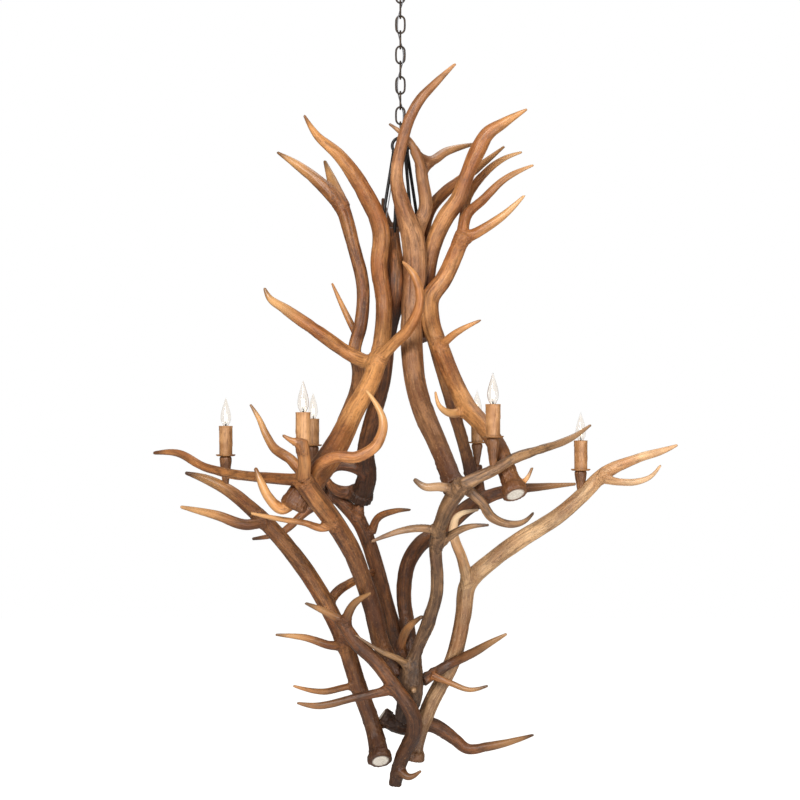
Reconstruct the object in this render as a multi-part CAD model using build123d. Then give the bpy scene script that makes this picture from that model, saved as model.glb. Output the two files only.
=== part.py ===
from build123d import *
import math
import os

# Antler chandelier: real antlers screwed together below a chain, with six candles.
# Millimetres, +Z up. The origin is the ceiling, at the middle of the canopy.

# ---------------------------------------------------------------- driving sizes
# Ceiling fitting
CANOPY_R = 66.0
CANOPY_HEIGHT = 46.0
CANOPY_WALL = 1.6
CANOPY_RIM = 7.0
CANOPY_NECK_R = 15.0
STRAP_WIDTH = 18.0
STRAP_THICK = 3.0
STRAP_SLOT_PITCH = 88.9
STRAP_SLOT_LENGTH = 12.0
STRAP_SLOT_WIDTH = 4.8
STRAP_BEYOND_SLOT = 5.55
NIPPLE_R = 4.8
NIPPLE_BORE_R = 3.3
NIPPLE_ABOVE = 8.0
NIPPLE_SIDES = 12
NUT_ACROSS = 15.0
NUT_THICK = 3.0
COLLAR_R = 13.0
COLLAR_HEIGHT = 9.0
LOOP_LENGTH = 36.0
LOOP_WIRE_R = 3.2
CANOPY_SIDES = 20

# Chain
LINK_WIRE_R = 2.5
LINK_LENGTH = 49.7
LINK_WIDTH = 28.0
LINK_COUNT = 11
LINK_SEAM = 0.4
CHAIN_PLAY = 0.45

# Hanger: a ring in the lowest link, and rods to the antlers
HANGER_RING_R = 21.0
HANGER_WIRE_R = 4.0
HANGER_DROP = 37.0
ROD_R = 4.2

# Supply cord: it winds once round the chain's middle in every four links
CORD_R = 1.4
CORD_SIDES = 5
CORD_OUT = 7.5
CORD_TURN_LIFT = 3.0
CORD_BELOW_COLLAR = 6.0
CORD_FIRST_TURN = (-10.5, 8.0, 1.0)
CORD_HOLE_GAP = 0.3

# Candles
CUP_TOP_R = 17.0
CUP_WAIST_R = 13.0
CUP_FOOT_R = 7.0
CUP_FLUTE = 1.3
CUP_SIDES = 12
STUD_R = 2.4
STUD_BITE = 12.0
RING_R = 27.0
RING_THICK = 2.2
RING_LIP = 5.0
SLEEVE_R = 18.5
SLEEVE_WALL = 2.6
SLEEVE_HEIGHT = 77.0
SLEEVE_SIDES = 10
SOCKET_R = 12.2
SOCKET_HEIGHT = 34.0
SOCKET_BELOW_RIM = 4.0
BULB_BASE_R = 6.2
BULB_BASE_HEIGHT = 20.0
BULB_R = 14.0
BULB_HEIGHT = 76.0
BULB_NECK_R = 5.9
TURN_GAP = 0.4

# Antlers and their screws
BEAM_SIDES = 7
TINE_SIDES = 5
BURR_FLARE = 1.22
BURR_HEIGHT = 16.0
SCREW_R = 2.6
SCREW_HEAD_R = 5.2
SCREW_HEAD_HEIGHT = 4.0
SCREW_SUNK = 3.0
SCREW_SIDES = 6

# The antlers' rows are in centimetres. Four corners count as flat below the second value.
CM = 10.0
FLAT = 1e-8

# Each antler is a beam and its tines. A row is a place on its middle line, as x, y and z
# from the hanging point, and the radius there, all in centimetres, from the burr up.
ANTLERS = {
    "antler_lower_left": [
        [(-5.1, 3.5, -156.6, 2.7), (-6.6, 3.5, -150.6, 2.2), (-10.8, 2.5, -138.2, 2.1),
         (-14.9, 2.5, -125.9, 2.2), (-19.7, 3.5, -116.1, 2.2), (-26.8, 4.5, -105.3, 2.2),
         (-37.3, 4.5, -93.5, 2.0), (-45.6, 3.5, -86.6, 1.6), (-51.0, 3.5, -84.0, 1.2),
         (-56.1, 2.5, -82.4, 0.4)],
        [(-18.9, 4.5, -116.8, 1.4), (-16.8, 8.5, -114.1, 1.3), (-11.9, 15.5, -111.6, 1.1),
         (-7.6, 24.5, -110.4, 0.9)],
        [(-35.6, 3.5, -95.0, 1.4), (-39.3, 1.5, -95.9, 1.4), (-47.9, -0.5, -93.2, 1.2),
         (-56.6, -2.5, -91.0, 0.4)],
        [(-14.6, 1.5, -127.1, 1.2), (-16.9, 0.5, -127.2, 1.2), (-24.6, -1.5, -124.8, 0.9),
         (-32.2, -2.5, -123.9, 0.3)],
        [(-10.5, 2.5, -138.4, 1.0), (-12.8, 1.5, -138.0, 0.9), (-20.0, -0.5, -138.9, 0.8),
         (-27.7, -1.5, -137.2, 0.3)],
    ],
    "antler_lower_front_left": [
        [(-0.9, -4.1, -133.8, 2.1), (-4.8, -5.5, -126.1, 2.2), (-7.1, -10.5, -115.8, 2.3),
         (-9.1, -14.5, -109.1, 2.2), (-12.1, -20.5, -100.6, 2.3), (-16.0, -26.5, -93.4, 2.3),
         (-20.8, -34.5, -86.1, 2.4), (-22.8, -36.5, -83.0, 2.3)],
        [(-22.8, -37.5, -82.5, 1.6), (-22.5, -41.5, -77.0, 1.4), (-23.4, -42.5, -74.5, 1.2),
         (-24.3, -42.5, -73.3, 0.9)],
        [(-22.4, -36.5, -83.0, 1.5), (-28.6, -31.5, -82.9, 1.4), (-35.0, -26.5, -82.6, 1.3),
         (-43.2, -18.5, -81.8, 1.2), (-48.9, -14.5, -80.5, 1.1), (-56.5, -10.5, -77.0, 0.9),
         (-62.6, -8.5, -77.1, 0.4)],
        [(-15.7, -27.5, -93.8, 1.1), (-18.8, -28.5, -94.7, 1.0), (-22.8, -29.5, -93.5, 0.8),
         (-28.7, -30.5, -92.5, 0.7), (-35.7, -31.5, -91.0, 0.3)],
    ],
    "antler_lower_back_left": [
        [(1.2, 6.5, -139.1, 2.1), (-0.6, 12.5, -130.0, 2.3), (-3.9, 20.5, -117.8, 2.0),
         (-6.5, 26.5, -109.7, 2.1), (-8.8, 31.5, -103.1, 2.1), (-11.7, 35.5, -97.2, 2.1),
         (-17.2, 39.5, -91.2, 2.0), (-25.1, 43.5, -83.9, 1.9)],
        [(-19.0, 40.5, -90.1, 1.6), (-26.3, 39.5, -94.1, 1.3), (-33.5, 36.5, -100.1, 1.0),
         (-41.7, 33.5, -101.9, 0.4)],
        [(-8.0, 32.5, -99.9, 1.3), (-6.3, 31.5, -95.9, 1.1), (-1.5, 29.5, -93.8, 0.8),
         (2.9, 27.5, -93.4, 0.3)],
        [(-0.1, 11.5, -131.2, 1.2), (1.8, 8.5, -123.9, 1.1), (5.9, 6.5, -120.2, 0.4)],
    ],
    "antler_lower_front_right": [
        [(2.7, -4.5, -139.5, 3.3), (2.7, -5.5, -133.7, 3.1), (3.5, -6.5, -129.5, 2.0),
         (7.4, -11.5, -118.4, 1.8), (8.9, -14.5, -112.3, 1.7), (9.0, -17.5, -106.3, 1.7),
         (8.7, -21.5, -99.1, 1.7), (9.6, -25.5, -94.2, 1.8), (11.1, -30.5, -89.8, 1.9),
         (14.4, -36.5, -83.9, 2.1)],
        [(13.1, -34.5, -85.6, 1.2), (9.3, -35.5, -84.6, 1.1), (5.8, -35.5, -84.6, 0.9),
         (3.2, -34.5, -82.8, 0.5)],
        [(14.4, -36.5, -84.1, 1.6), (21.7, -36.5, -80.6, 1.4), (26.2, -35.5, -78.1, 1.3),
         (33.1, -32.5, -75.8, 1.1), (41.0, -27.5, -73.2, 0.8), (46.2, -24.5, -70.0, 0.3)],
        [(15.5, -33.5, -85.0, 1.3), (19.3, -32.5, -88.5, 1.2), (21.8, -31.5, -91.9, 1.2),
         (25.4, -30.5, -93.6, 1.0), (29.8, -28.5, -93.1, 0.6), (32.1, -27.5, -91.0, 0.3)],
        [(9.1, -24.5, -96.0, 1.0), (6.9, -25.5, -95.2, 1.0), (0.1, -27.5, -95.5, 0.8),
         (-3.5, -28.5, -96.6, 0.6), (-7.0, -29.5, -98.0, 0.3)],
        [(8.9, -21.5, -99.6, 1.1), (10.9, -22.5, -98.0, 1.1), (15.6, -25.5, -94.9, 0.8),
         (21.3, -27.5, -94.1, 0.3)],
        [(1.9, -7.5, -131.6, 1.1), (0.4, -8.5, -129.9, 0.9), (-5.1, -11.5, -126.7, 0.6),
         (-11.6, -13.5, -122.2, 0.2)],
    ],
    "antler_lower_right": [
        [(3.0, 1.5, -156.9, 2.7), (4.1, 1.5, -152.3, 2.2), (7.7, 1.5, -142.7, 2.1),
         (13.4, 1.5, -131.5, 2.1), (16.3, 1.5, -119.3, 2.1), (17.6, 2.5, -111.6, 2.3),
         (24.7, 3.5, -104.7, 2.2), (31.2, 3.5, -100.0, 2.2), (41.7, 3.5, -93.4, 2.1),
         (47.1, 3.5, -88.7, 2.0), (53.5, 2.5, -82.4, 1.8), (62.6, 0.5, -78.2, 1.2),
         (67.6, -0.5, -76.7, 0.9), (71.5, -1.5, -75.1, 0.3)],
        [(17.6, 1.5, -110.7, 1.7), (16.0, 0.5, -104.9, 1.4), (13.6, -1.5, -97.0, 1.2),
         (14.3, -2.5, -93.9, 0.9), (20.1, -4.5, -91.7, 0.3)],
        [(52.6, 1.5, -83.7, 1.3), (56.6, -1.5, -84.6, 1.0), (60.5, -2.5, -84.6, 0.9),
         (64.0, -3.5, -83.3, 0.6), (66.6, -4.5, -80.2, 0.3)],
    ],
    "antler_lower_back_right": [
        [(3.4, 10.9, -131.1, 1.9), (2.0, 13.5, -124.3, 1.9), (1.0, 18.5, -114.6, 2.0),
         (2.6, 23.5, -106.9, 2.1), (5.4, 26.5, -103.0, 2.2), (11.9, 31.5, -99.2, 2.2),
         (19.8, 37.5, -92.8, 2.3), (24.8, 40.5, -90.4, 2.0), (31.3, 39.5, -88.4, 1.6),
         (39.5, 36.5, -87.4, 1.1), (49.3, 32.5, -86.4, 0.4)],
        [(21.6, 39.5, -92.6, 1.7), (22.6, 42.5, -88.5, 1.6), (22.1, 43.5, -83.3, 1.5),
         (22.1, 43.5, -81.3, 1.4)],
    ],
    "antler_bottom_front": [
        [(-1.4, -0.5, -163.0, 1.7), (-0.4, -1.5, -158.1, 1.8), (1.2, -2.7, -153.7, 1.9),
         (3.5, -5.3, -148.3, 2.0), (3.2, -7.5, -143.8, 2.0), (-1.6, -9.5, -135.8, 1.9),
         (-6.6, -10.5, -129.1, 1.8), (-11.1, -11.5, -124.7, 1.8), (-14.7, -11.5, -119.2, 1.5)],
        [(-13.9, -11.5, -119.9, 1.3), (-11.5, -15.0, -114.5, 1.0), (-7.2, -18.5, -111.4, 0.3)],
        [(-13.9, -11.5, -119.7, 1.1), (-19.2, -11.5, -116.7, 0.9), (-23.9, -12.5, -114.6, 0.3)],
        [(-0.4, -2.5, -158.6, 1.2), (2.0, -3.5, -160.2, 0.9), (5.3, -4.5, -158.4, 0.3)],
        [(-2.6, -9.5, -136.8, 1.3), (-11.7, -10.5, -138.7, 1.0), (-21.7, -11.5, -140.5, 0.8),
         (-25.9, -12.5, -139.6, 0.3)],
    ],
    "antler_bottom_right": [
        [(5.7, -3.9, -135.6, 1.5), (12.5, -1.1, -131.8, 1.3), (18.9, -3.5, -128.2, 1.2),
         (23.4, -5.5, -125.3, 0.8), (27.1, -6.5, -123.1, 0.3)],
        [(8.1, -4.5, -134.1, 1.0), (12.6, -6.5, -135.6, 0.8), (17.9, -8.5, -137.0, 0.6),
         (22.1, -9.5, -135.8, 0.3)],
    ],
    "antler_bottom_cross": [
        [(-5.0, 5.0, -146.2, 2.2), (-0.1, 5.1, -148.9, 2.1), (8.3, 5.1, -148.6, 2.0),
         (14.1, 5.5, -152.3, 1.7), (17.4, 4.5, -154.7, 1.4), (22.6, 3.5, -154.0, 1.2),
         (29.5, 1.5, -152.0, 0.8), (34.5, -0.5, -150.0, 0.3)],
    ],
    "antler_upper_front_left": [
        [(-25.8, -31.2, -89.6, 2.6), (-24.4, -31.2, -87.4, 3.0), (-20.2, -28.0, -82.2, 3.1),
         (-15.5, -21.5, -74.9, 2.9), (-12.0, -15.5, -67.5, 2.6), (-7.4, -10.5, -58.7, 2.4),
         (-4.9, -5.5, -49.6, 2.3), (-4.2, -1.5, -38.8, 2.2), (-5.5, -2.5, -28.8, 2.2),
         (-5.0, -3.5, -20.2, 2.3), (-9.0, -5.5, -10.8, 2.2), (-15.5, -9.5, -1.9, 1.8),
         (-21.1, -12.5, 2.8, 1.3), (-24.0, -14.5, 7.2, 0.3)],
        [(-4.9, -8.5, -53.0, 1.6), (-1.4, -11.5, -49.4, 1.5), (2.1, -13.5, -46.0, 1.4),
         (4.9, -15.5, -38.2, 1.1), (3.4, -15.5, -32.8, 0.9), (0.4, -14.5, -29.2, 0.3)],
        [(-6.2, -8.5, -55.1, 1.9), (-12.1, -4.5, -52.3, 1.8), (-21.9, -8.5, -45.7, 1.6),
         (-29.0, -10.5, -40.8, 1.3), (-33.0, -11.5, -37.9, 0.8), (-34.2, -11.5, -35.4, 0.3)],
        [(-23.6, -28.5, -83.7, 1.3), (-26.8, -26.5, -77.3, 1.1), (-32.8, -24.5, -73.2, 1.0),
         (-33.6, -23.5, -70.0, 0.7), (-36.5, -23.5, -65.2, 0.3)],
        [(-21.5, -30.5, -84.1, 1.5), (-18.9, -34.5, -79.3, 1.4), (-15.4, -35.5, -77.6, 1.4),
         (-10.2, -36.5, -77.6, 1.4), (-5.7, -36.5, -74.8, 1.3), (-4.1, -36.5, -70.8, 1.1),
         (-8.1, -34.5, -61.8, 0.3)],
        [(-25.4, -30.5, -87.9, 1.2), (-28.3, -32.5, -90.0, 0.9), (-30.9, -32.5, -87.8, 0.8),
         (-34.5, -31.5, -80.0, 0.3)],
    ],
    "antler_upper_back_left": [
        [(-22.8, 39.6, -87.4, 2.1), (-19.6, 29.5, -78.2, 1.8), (-15.8, 18.5, -69.9, 1.8),
         (-12.3, 9.5, -62.0, 1.7), (-11.0, 2.1, -55.6, 1.7), (-11.8, -2.5, -50.6, 1.7),
         (-10.3, -1.0, -44.2, 1.7), (-9.7, 0.5, -35.0, 1.7), (-12.6, 1.5, -21.9, 1.8),
         (-15.2, 3.5, -12.8, 1.8), (-19.6, 7.5, -0.6, 1.3)],
        [(-15.0, 3.5, -13.3, 1.6), (-22.6, 4.5, -5.3, 1.2), (-32.4, 5.5, 1.7, 0.3)],
        [(-11.0, 0.5, -47.4, 1.0), (-14.4, 2.5, -40.5, 0.8), (-17.9, 4.5, -32.8, 0.3)],
    ],
    "antler_upper_back": [
        [(-10.2, 37.0, -93.4, 3.4), (-9.3, 32.5, -85.8, 2.7), (-9.5, 25.5, -75.9, 2.3),
         (-7.7, 20.5, -68.5, 2.2), (-4.9, 14.5, -59.2, 2.1), (-3.0, 6.5, -44.9, 2.1),
         (-1.2, 0.7, -35.0, 2.5), (-1.7, 2.5, -24.4, 2.0), (-2.4, 3.5, -19.0, 1.8)],
        [(-2.4, 3.5, -20.6, 1.3), (-4.0, 4.5, -14.7, 0.9), (-4.6, 5.5, -10.4, 0.4)],
        [(-2.2, 4.5, -20.5, 1.3), (-0.1, 5.5, -14.6, 0.9), (0.4, 6.5, -10.2, 0.4)],
        [(-9.3, 29.5, -83.5, 1.7), (-13.5, 29.8, -81.6, 1.5), (-18.4, 31.0, -81.7, 1.3),
         (-20.5, 31.5, -84.4, 0.7)],
    ],
    "antler_upper_front": [
        [(13.0, -32.8, -85.1, 2.6), (11.0, -26.5, -79.7, 2.4), (8.7, -20.5, -73.7, 2.4),
         (6.1, -14.5, -67.5, 2.6), (3.9, -9.5, -59.9, 2.6), (3.0, -5.5, -50.9, 2.8),
         (3.3, -0.5, -37.7, 3.0), (3.8, -0.5, -29.9, 3.1), (3.2, -1.5, -21.8, 3.0),
         (0.9, -4.5, -14.9, 2.2), (-0.9, -6.5, -7.8, 1.7), (0.4, -8.0, 1.4, 1.5),
         (2.4, -9.0, 7.6, 1.4), (5.0, -9.5, 12.2, 1.3), (8.8, -9.5, 16.3, 1.0),
         (14.0, -9.5, 21.3, 0.3)],
        [(4.0, -0.5, -19.6, 2.1), (6.4, -1.5, -14.3, 1.8), (5.6, -3.0, -7.0, 1.6),
         (4.6, -4.5, -2.0, 1.2), (2.2, -6.0, 2.4, 0.9), (-2.9, -7.0, 6.6, 0.3)],
        [(5.3, -3.0, -3.9, 1.2), (7.2, 0.5, -0.7, 1.0), (12.0, 4.5, 1.9, 0.9),
         (19.5, 8.5, 4.6, 0.3)],
    ],
    "antler_upper_right": [
        [(5.6, 0.5, -47.9, 1.9), (6.1, 2.5, -40.0, 2.0), (6.9, 3.0, -32.2, 2.1),
         (8.2, 2.5, -24.4, 2.2), (11.8, 1.5, -15.9, 2.3), (14.9, 0.5, -11.7, 2.2),
         (17.2, -0.5, -5.4, 1.9), (20.0, -1.5, 0.9, 2.1), (22.3, -2.5, 4.8, 1.9),
         (26.8, -3.5, 7.7, 1.3), (32.3, -5.5, 10.6, 0.3)],
    ],
    "antler_upper_right_outer": [
        [(27.0, -34.5, -86.4, 2.7), (25.7, -33.9, -82.5, 2.3), (24.0, -32.1, -77.2, 2.2),
         (20.7, -25.5, -71.0, 2.2), (16.8, -18.5, -66.2, 2.4), (13.7, -12.5, -59.9, 2.4),
         (10.8, -7.0, -52.2, 2.4), (7.8, -3.6, -43.1, 2.4), (7.8, -2.6, -37.3, 2.4),
         (11.0, -2.5, -32.7, 2.2), (14.0, -3.5, -26.4, 2.1), (16.0, -4.5, -21.4, 1.9)],
        [(15.5, -4.5, -22.7, 1.5), (21.1, -5.5, -20.0, 1.3), (26.6, -6.5, -16.3, 1.0),
         (31.6, -7.5, -11.6, 0.3)],
        [(15.8, -4.5, -22.4, 1.5), (17.3, -3.5, -15.9, 1.3), (21.2, -2.5, -12.1, 1.2),
         (26.9, -2.5, -6.7, 0.9), (34.3, -2.5, -3.1, 0.3)],
        [(15.5, -3.5, -22.6, 1.4), (16.6, 2.5, -15.8, 1.3), (17.7, 5.5, -10.1, 1.2),
         (21.7, 6.5, -4.2, 1.1), (27.6, 7.5, 0.5, 0.7), (32.1, 7.5, 2.1, 0.3)],
        [(10.0, -7.0, -50.2, 1.1), (14.0, -10.5, -46.8, 0.9), (20.2, -12.5, -43.7, 0.3)],
        [(15.9, -18.0, -66.3, 1.1), (12.0, -21.0, -67.1, 1.0), (9.5, -23.0, -65.4, 0.6),
         (8.5, -24.0, -61.9, 0.3)],
        [(26.4, -34.2, -84.4, 1.0), (29.3, -34.0, -83.2, 0.6), (31.2, -33.6, -80.0, 0.3)],
    ],
    "antler_upper_back_right": [
        [(20.9, 40.9, -86.7, 2.1), (19.2, 37.5, -80.0, 1.8), (15.2, 28.5, -67.1, 1.8),
         (9.9, 17.5, -50.2, 1.8), (7.3, 10.5, -40.7, 1.7), (5.9, 6.0, -33.1, 1.7),
         (5.7, 6.1, -24.0, 1.7), (7.8, 6.5, -13.4, 1.6), (11.8, 8.5, -8.3, 1.5),
         (20.4, 10.5, -1.6, 1.1), (27.9, 12.5, 4.6, 0.3)],
    ],
}

# A burr flares round the foot of these; the others were sawn off above it.
WITH_BURR = ("antler_lower_left", "antler_lower_right", "antler_upper_front_left",
             "antler_upper_back", "antler_upper_front", "antler_upper_right_outer",
             "antler_bottom_cross")

# A candle stands on one row of an antler: its antler, run, row, and the height of its
# drip ring above that row's middle line, in millimetres.
CANDLES = {
    "left": ("antler_lower_left", 0, 7, 85.0),
    "right": ("antler_lower_right", 0, 9, 68.0),
    "front_left": ("antler_lower_front_left", 0, 7, 80.0),
    "front_right": ("antler_lower_front_right", 2, 1, 75.0),
    "back_left": ("antler_lower_back_left", 0, 7, 80.0),
    "back_right": ("antler_lower_back_right", 1, 3, 62.0),
}

# Screws hold the antlers to each other. Each goes in at the far side of the first, whose
# middle line and radius there are given in centimetres, to a point inside the second.
SCREWS = (
    ((2.6, -5.3, -134.5), 3.1, (-2.6, -4.6, -130.5)),
    ((-20.0, -33.9, -87.0), 2.4, (-23.4, -30.4, -85.8)),
    ((12.6, -34.3, -86.5), 2.0, (11.8, -29.8, -82.4)),
    ((-12.8, 36.6, -95.6), 2.1, (-9.4, 34.4, -89.6)),
    ((-21.8, 42.0, -87.2), 1.9, (-21.7, 36.0, -84.2)),
    ((2.2, -8.3, -141.2), 2.0, (2.8, -4.0, -138.2)),
    ((-4.0, -1.6, -38.4), 2.2, (-0.6, 1.4, -37.4)),
    ((6.6, 3.0, -37.2), 2.0, (3.3, -1.0, -37.0)),
    ((7.9, -3.2, -41.4), 2.4, (2.6, -1.4, -41.0)),
    ((-11.7, -2.3, -50.9), 1.7, (-12.6, -5.2, -52.4)),
)

# Each rod of the hanger runs from an angle on the ring to a row of an upper antler.
RODS = (
    (215, "antler_upper_front_left", 0, 9),
    (305, "antler_upper_front", 0, 8),
    (250, "antler_upper_back", 0, 7),
    (325, "antler_upper_back_right", 0, 6),
)

# The cord goes into this row of an antler beside the hanger's rod, this far from it in x and y.
CORD_END = ("antler_upper_front_left", 0, 9)
CORD_BESIDE_ROD = (8.0, 9.0)

# ---------------------------------------------------------------- places that follow
STRAP_LENGTH = STRAP_SLOT_PITCH + STRAP_SLOT_LENGTH + 2 * STRAP_BEYOND_SLOT
LINK_PITCH = LINK_LENGTH - 4 * LINK_WIRE_R - CHAIN_PLAY
COLLAR_Z = -CANOPY_HEIGHT
LOOP_Z = COLLAR_Z - LOOP_LENGTH - COLLAR_HEIGHT / 2
FIRST_LINK_Z = LOOP_Z - LINK_PITCH + LOOP_WIRE_R - LINK_WIRE_R
LAST_LINK_Z = FIRST_LINK_Z - (LINK_COUNT - 1) * LINK_PITCH
HANG_Z = LAST_LINK_Z - HANGER_DROP
HANGER_RING_Z = LAST_LINK_Z + LINK_WIRE_R + CHAIN_PLAY + HANGER_WIRE_R - HANGER_RING_R
SOCKET_TOP = RING_THICK + SLEEVE_HEIGHT - SOCKET_BELOW_RIM


def spot(row):
    """The place of an antler's row, in the whole fixture's millimetres."""
    return Vector(row[0] * CM, row[1] * CM, row[2] * CM + HANG_Z)


def facet(*corners):
    return Face(Wire.make_polygon(corners, close=True))


def skin(rings):
    """A solid through rings of corners: flat panels, split in two where they would twist."""
    faces = [facet(*rings[0]), facet(*rings[-1])]
    for lower, upper in zip(rings, rings[1:]):
        for k in range(len(lower)):
            a, b, c, d = lower[k - 1], lower[k], upper[k], upper[k - 1]
            twist = abs((c - a).cross(b - a).normalized().dot(d - a))
            if twist < FLAT:
                faces.append(facet(a, b, c, d))
            else:
                faces.append(facet(a, b, c))
                faces.append(facet(a, c, d))
    return Solid(Shell(faces))


def polygon_at(place, x_dir, along, radius, sides, turn):
    """Corners of a polygon square to a direction; turn is in steps of one side."""
    across = Plane(origin=place, x_dir=x_dir, z_dir=along)
    corners = []
    for k in range(sides):
        angle = 2 * math.pi * (k + turn) / sides
        local = Vector(radius * math.cos(angle), radius * math.sin(angle), 0)
        corners.append(across.from_local_coords(local))
    return corners


def branch(places, radii, sides):
    """A tapering solid along a smooth line, its polygons carried along without twist."""
    line = Edge.make_spline(places) if len(places) > 2 else Edge.make_line(*places)
    side = None
    rings = []
    for place, radius in zip(places, radii):
        along = line.tangent_at(line.param_at_point(place))
        if side is None:
            side = Vector(0, 1, 0) if abs(along.Y) < 0.8 else Vector(1, 0, 0)
        side = (side - along * side.dot(along)).normalized()
        rings.append(polygon_at(place, side, along, radius, sides, 0.5))
    return skin(rings)


def bent_wire(places, tangents, radius, sides, normal):
    """A bar bent in the plane with the given normal, its sections square to the tangents."""
    rings = []
    for place, along in zip(places, tangents):
        rings.append(polygon_at(place, normal, along, radius, sides, 0.5))
    return skin(rings)


def arc_places(centre, radius, start, stop, steps, x_dir):
    """Places and directions round an upright arc, angles from x_dir towards +Z."""
    places = []
    tangents = []
    sense = 1 if stop > start else -1
    for k in range(steps + 1):
        angle = math.radians(start + (stop - start) * k / steps)
        places.append(centre + x_dir * (radius * math.cos(angle))
                      + Vector(0, 0, radius * math.sin(angle)))
        tangents.append((x_dir * -math.sin(angle) + Vector(0, 0, math.cos(angle))) * sense)
    return places, tangents


def turned(profile, sides, centre=Vector(0, 0, 0), flute=0):
    """A faceted turned piece from (radius, height) rows; flutes draw in every other edge."""
    rings = []
    for radius, height in profile:
        corners = []
        for k in range(sides):
            angle = 2 * math.pi * (k + 0.5) / sides
            out = radius - flute * (k % 2)
            corners.append(centre + Vector(out * math.cos(angle), out * math.sin(angle), height))
        rings.append(corners)
    return skin(rings)


# ---------------------------------------------------------------- ceiling fitting
def make_canopy():
    """A spun dish with a straight rim, drawn in to a flat round the nipple."""
    rows = [
        (CANOPY_NECK_R, -CANOPY_HEIGHT),
        (CANOPY_NECK_R + 6, -CANOPY_HEIGHT * 0.93),
        (CANOPY_R * 0.8, -CANOPY_HEIGHT * 0.55),
        (CANOPY_R, -CANOPY_RIM),
        (CANOPY_R, 0),
    ]
    hollow = [(radius - CANOPY_WALL, height + CANOPY_WALL) for radius, height in rows]
    hole = [(NIPPLE_R, -CANOPY_HEIGHT - 1), (NIPPLE_R, -CANOPY_HEIGHT / 2)]
    shell = turned(rows, CANOPY_SIDES).cut(turned(hollow, CANOPY_SIDES))
    return shell.cut(turned(hole, NIPPLE_SIDES))


def make_strap():
    """The flat bar that the ceiling box's screws hold by its two slots."""
    with BuildPart() as part:
        with BuildSketch():
            Rectangle(STRAP_LENGTH, STRAP_WIDTH)
            RegularPolygon(NIPPLE_R, NIPPLE_SIDES, rotation=15, mode=Mode.SUBTRACT)
            with Locations((-STRAP_SLOT_PITCH / 2, 0), (STRAP_SLOT_PITCH / 2, 0)):
                SlotOverall(STRAP_SLOT_LENGTH, STRAP_SLOT_WIDTH, mode=Mode.SUBTRACT)
        extrude(amount=-STRAP_THICK)
    return part.part


def make_nipple():
    low = COLLAR_Z - COLLAR_HEIGHT * 0.6
    tube = turned([(NIPPLE_R, low), (NIPPLE_R, NIPPLE_ABOVE)], NIPPLE_SIDES)
    return tube.cut(turned([(NIPPLE_BORE_R, low), (NIPPLE_BORE_R, NIPPLE_ABOVE)], NIPPLE_SIDES))


def make_lock_nuts():
    """Nuts above and below the strap and one inside the canopy's foot."""
    nuts = []
    bore = turned([(NIPPLE_R, -CANOPY_HEIGHT), (NIPPLE_R, NIPPLE_ABOVE)], NIPPLE_SIDES)
    corner_r = NUT_ACROSS / 2 / math.cos(math.pi / 6)
    for low in (-STRAP_THICK - NUT_THICK, 0.0, -CANOPY_HEIGHT + CANOPY_WALL):
        nuts.append(turned([(corner_r, low), (corner_r, low + NUT_THICK)], 6).cut(bore))
    return Compound(children=nuts)


def make_collar():
    """The collar that screws up against the canopy, with the loop the chain hangs from."""
    centre_r = LINK_WIDTH / 2 - LINK_WIRE_R
    low = COLLAR_Z - COLLAR_HEIGHT
    collar = turned([
        (COLLAR_R * 0.86, low),
        (COLLAR_R, COLLAR_Z - COLLAR_HEIGHT * 0.8),
        (COLLAR_R, COLLAR_Z - COLLAR_HEIGHT * 0.25),
        (COLLAR_R * 0.9, COLLAR_Z),
    ], NIPPLE_SIDES)
    arc_centre = Vector(0, 0, LOOP_Z + centre_r)
    places, tangents = arc_places(arc_centre, centre_r, 180, 360, 4, Vector(1, 0, 0))
    top_z = COLLAR_Z - COLLAR_HEIGHT * 0.9
    lean = Vector(centre_r * 0.75, 0, top_z)
    places = [Vector(-lean.X, 0, top_z)] + places + [lean]
    tangents = [tangents[0]] + tangents + [tangents[-1]]
    bow = bent_wire(places, tangents, LOOP_WIRE_R, 8, Vector(0, 1, 0))
    seat = COLLAR_Z - COLLAR_HEIGHT * 0.6
    bore = turned([(NIPPLE_R, seat), (NIPPLE_R, COLLAR_Z)], NIPPLE_SIDES)
    channel = turned([(NIPPLE_BORE_R, low - 1), (NIPPLE_BORE_R, COLLAR_Z)], NIPPLE_SIDES)
    return collar.fuse(bow).cut(bore, channel)


# ---------------------------------------------------------------- chain
def make_link(bottom_z, x_dir, normal):
    """One open link: wire bent to an oval whose ends meet at a seam on one side."""
    radius = LINK_WIDTH / 2 - LINK_WIRE_R
    height = LINK_LENGTH - LINK_WIDTH
    low = Vector(0, 0, bottom_z + radius)
    high = low + Vector(0, 0, height)
    mid = low + Vector(0, 0, height / 2)
    under, under_dirs = arc_places(low, radius, 180, 360, 4, x_dir)
    over, over_dirs = arc_places(high, radius, 0, 180, 4, x_dir)
    start = mid - x_dir * radius - Vector(0, 0, LINK_SEAM / 2)
    stop = mid - x_dir * radius + Vector(0, 0, LINK_SEAM / 2)
    places = [start] + under + over + [stop]
    dirs = [under_dirs[0]] + under_dirs + over_dirs + [over_dirs[-1]]
    return bent_wire(places, dirs, LINK_WIRE_R, 6, normal)


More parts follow.
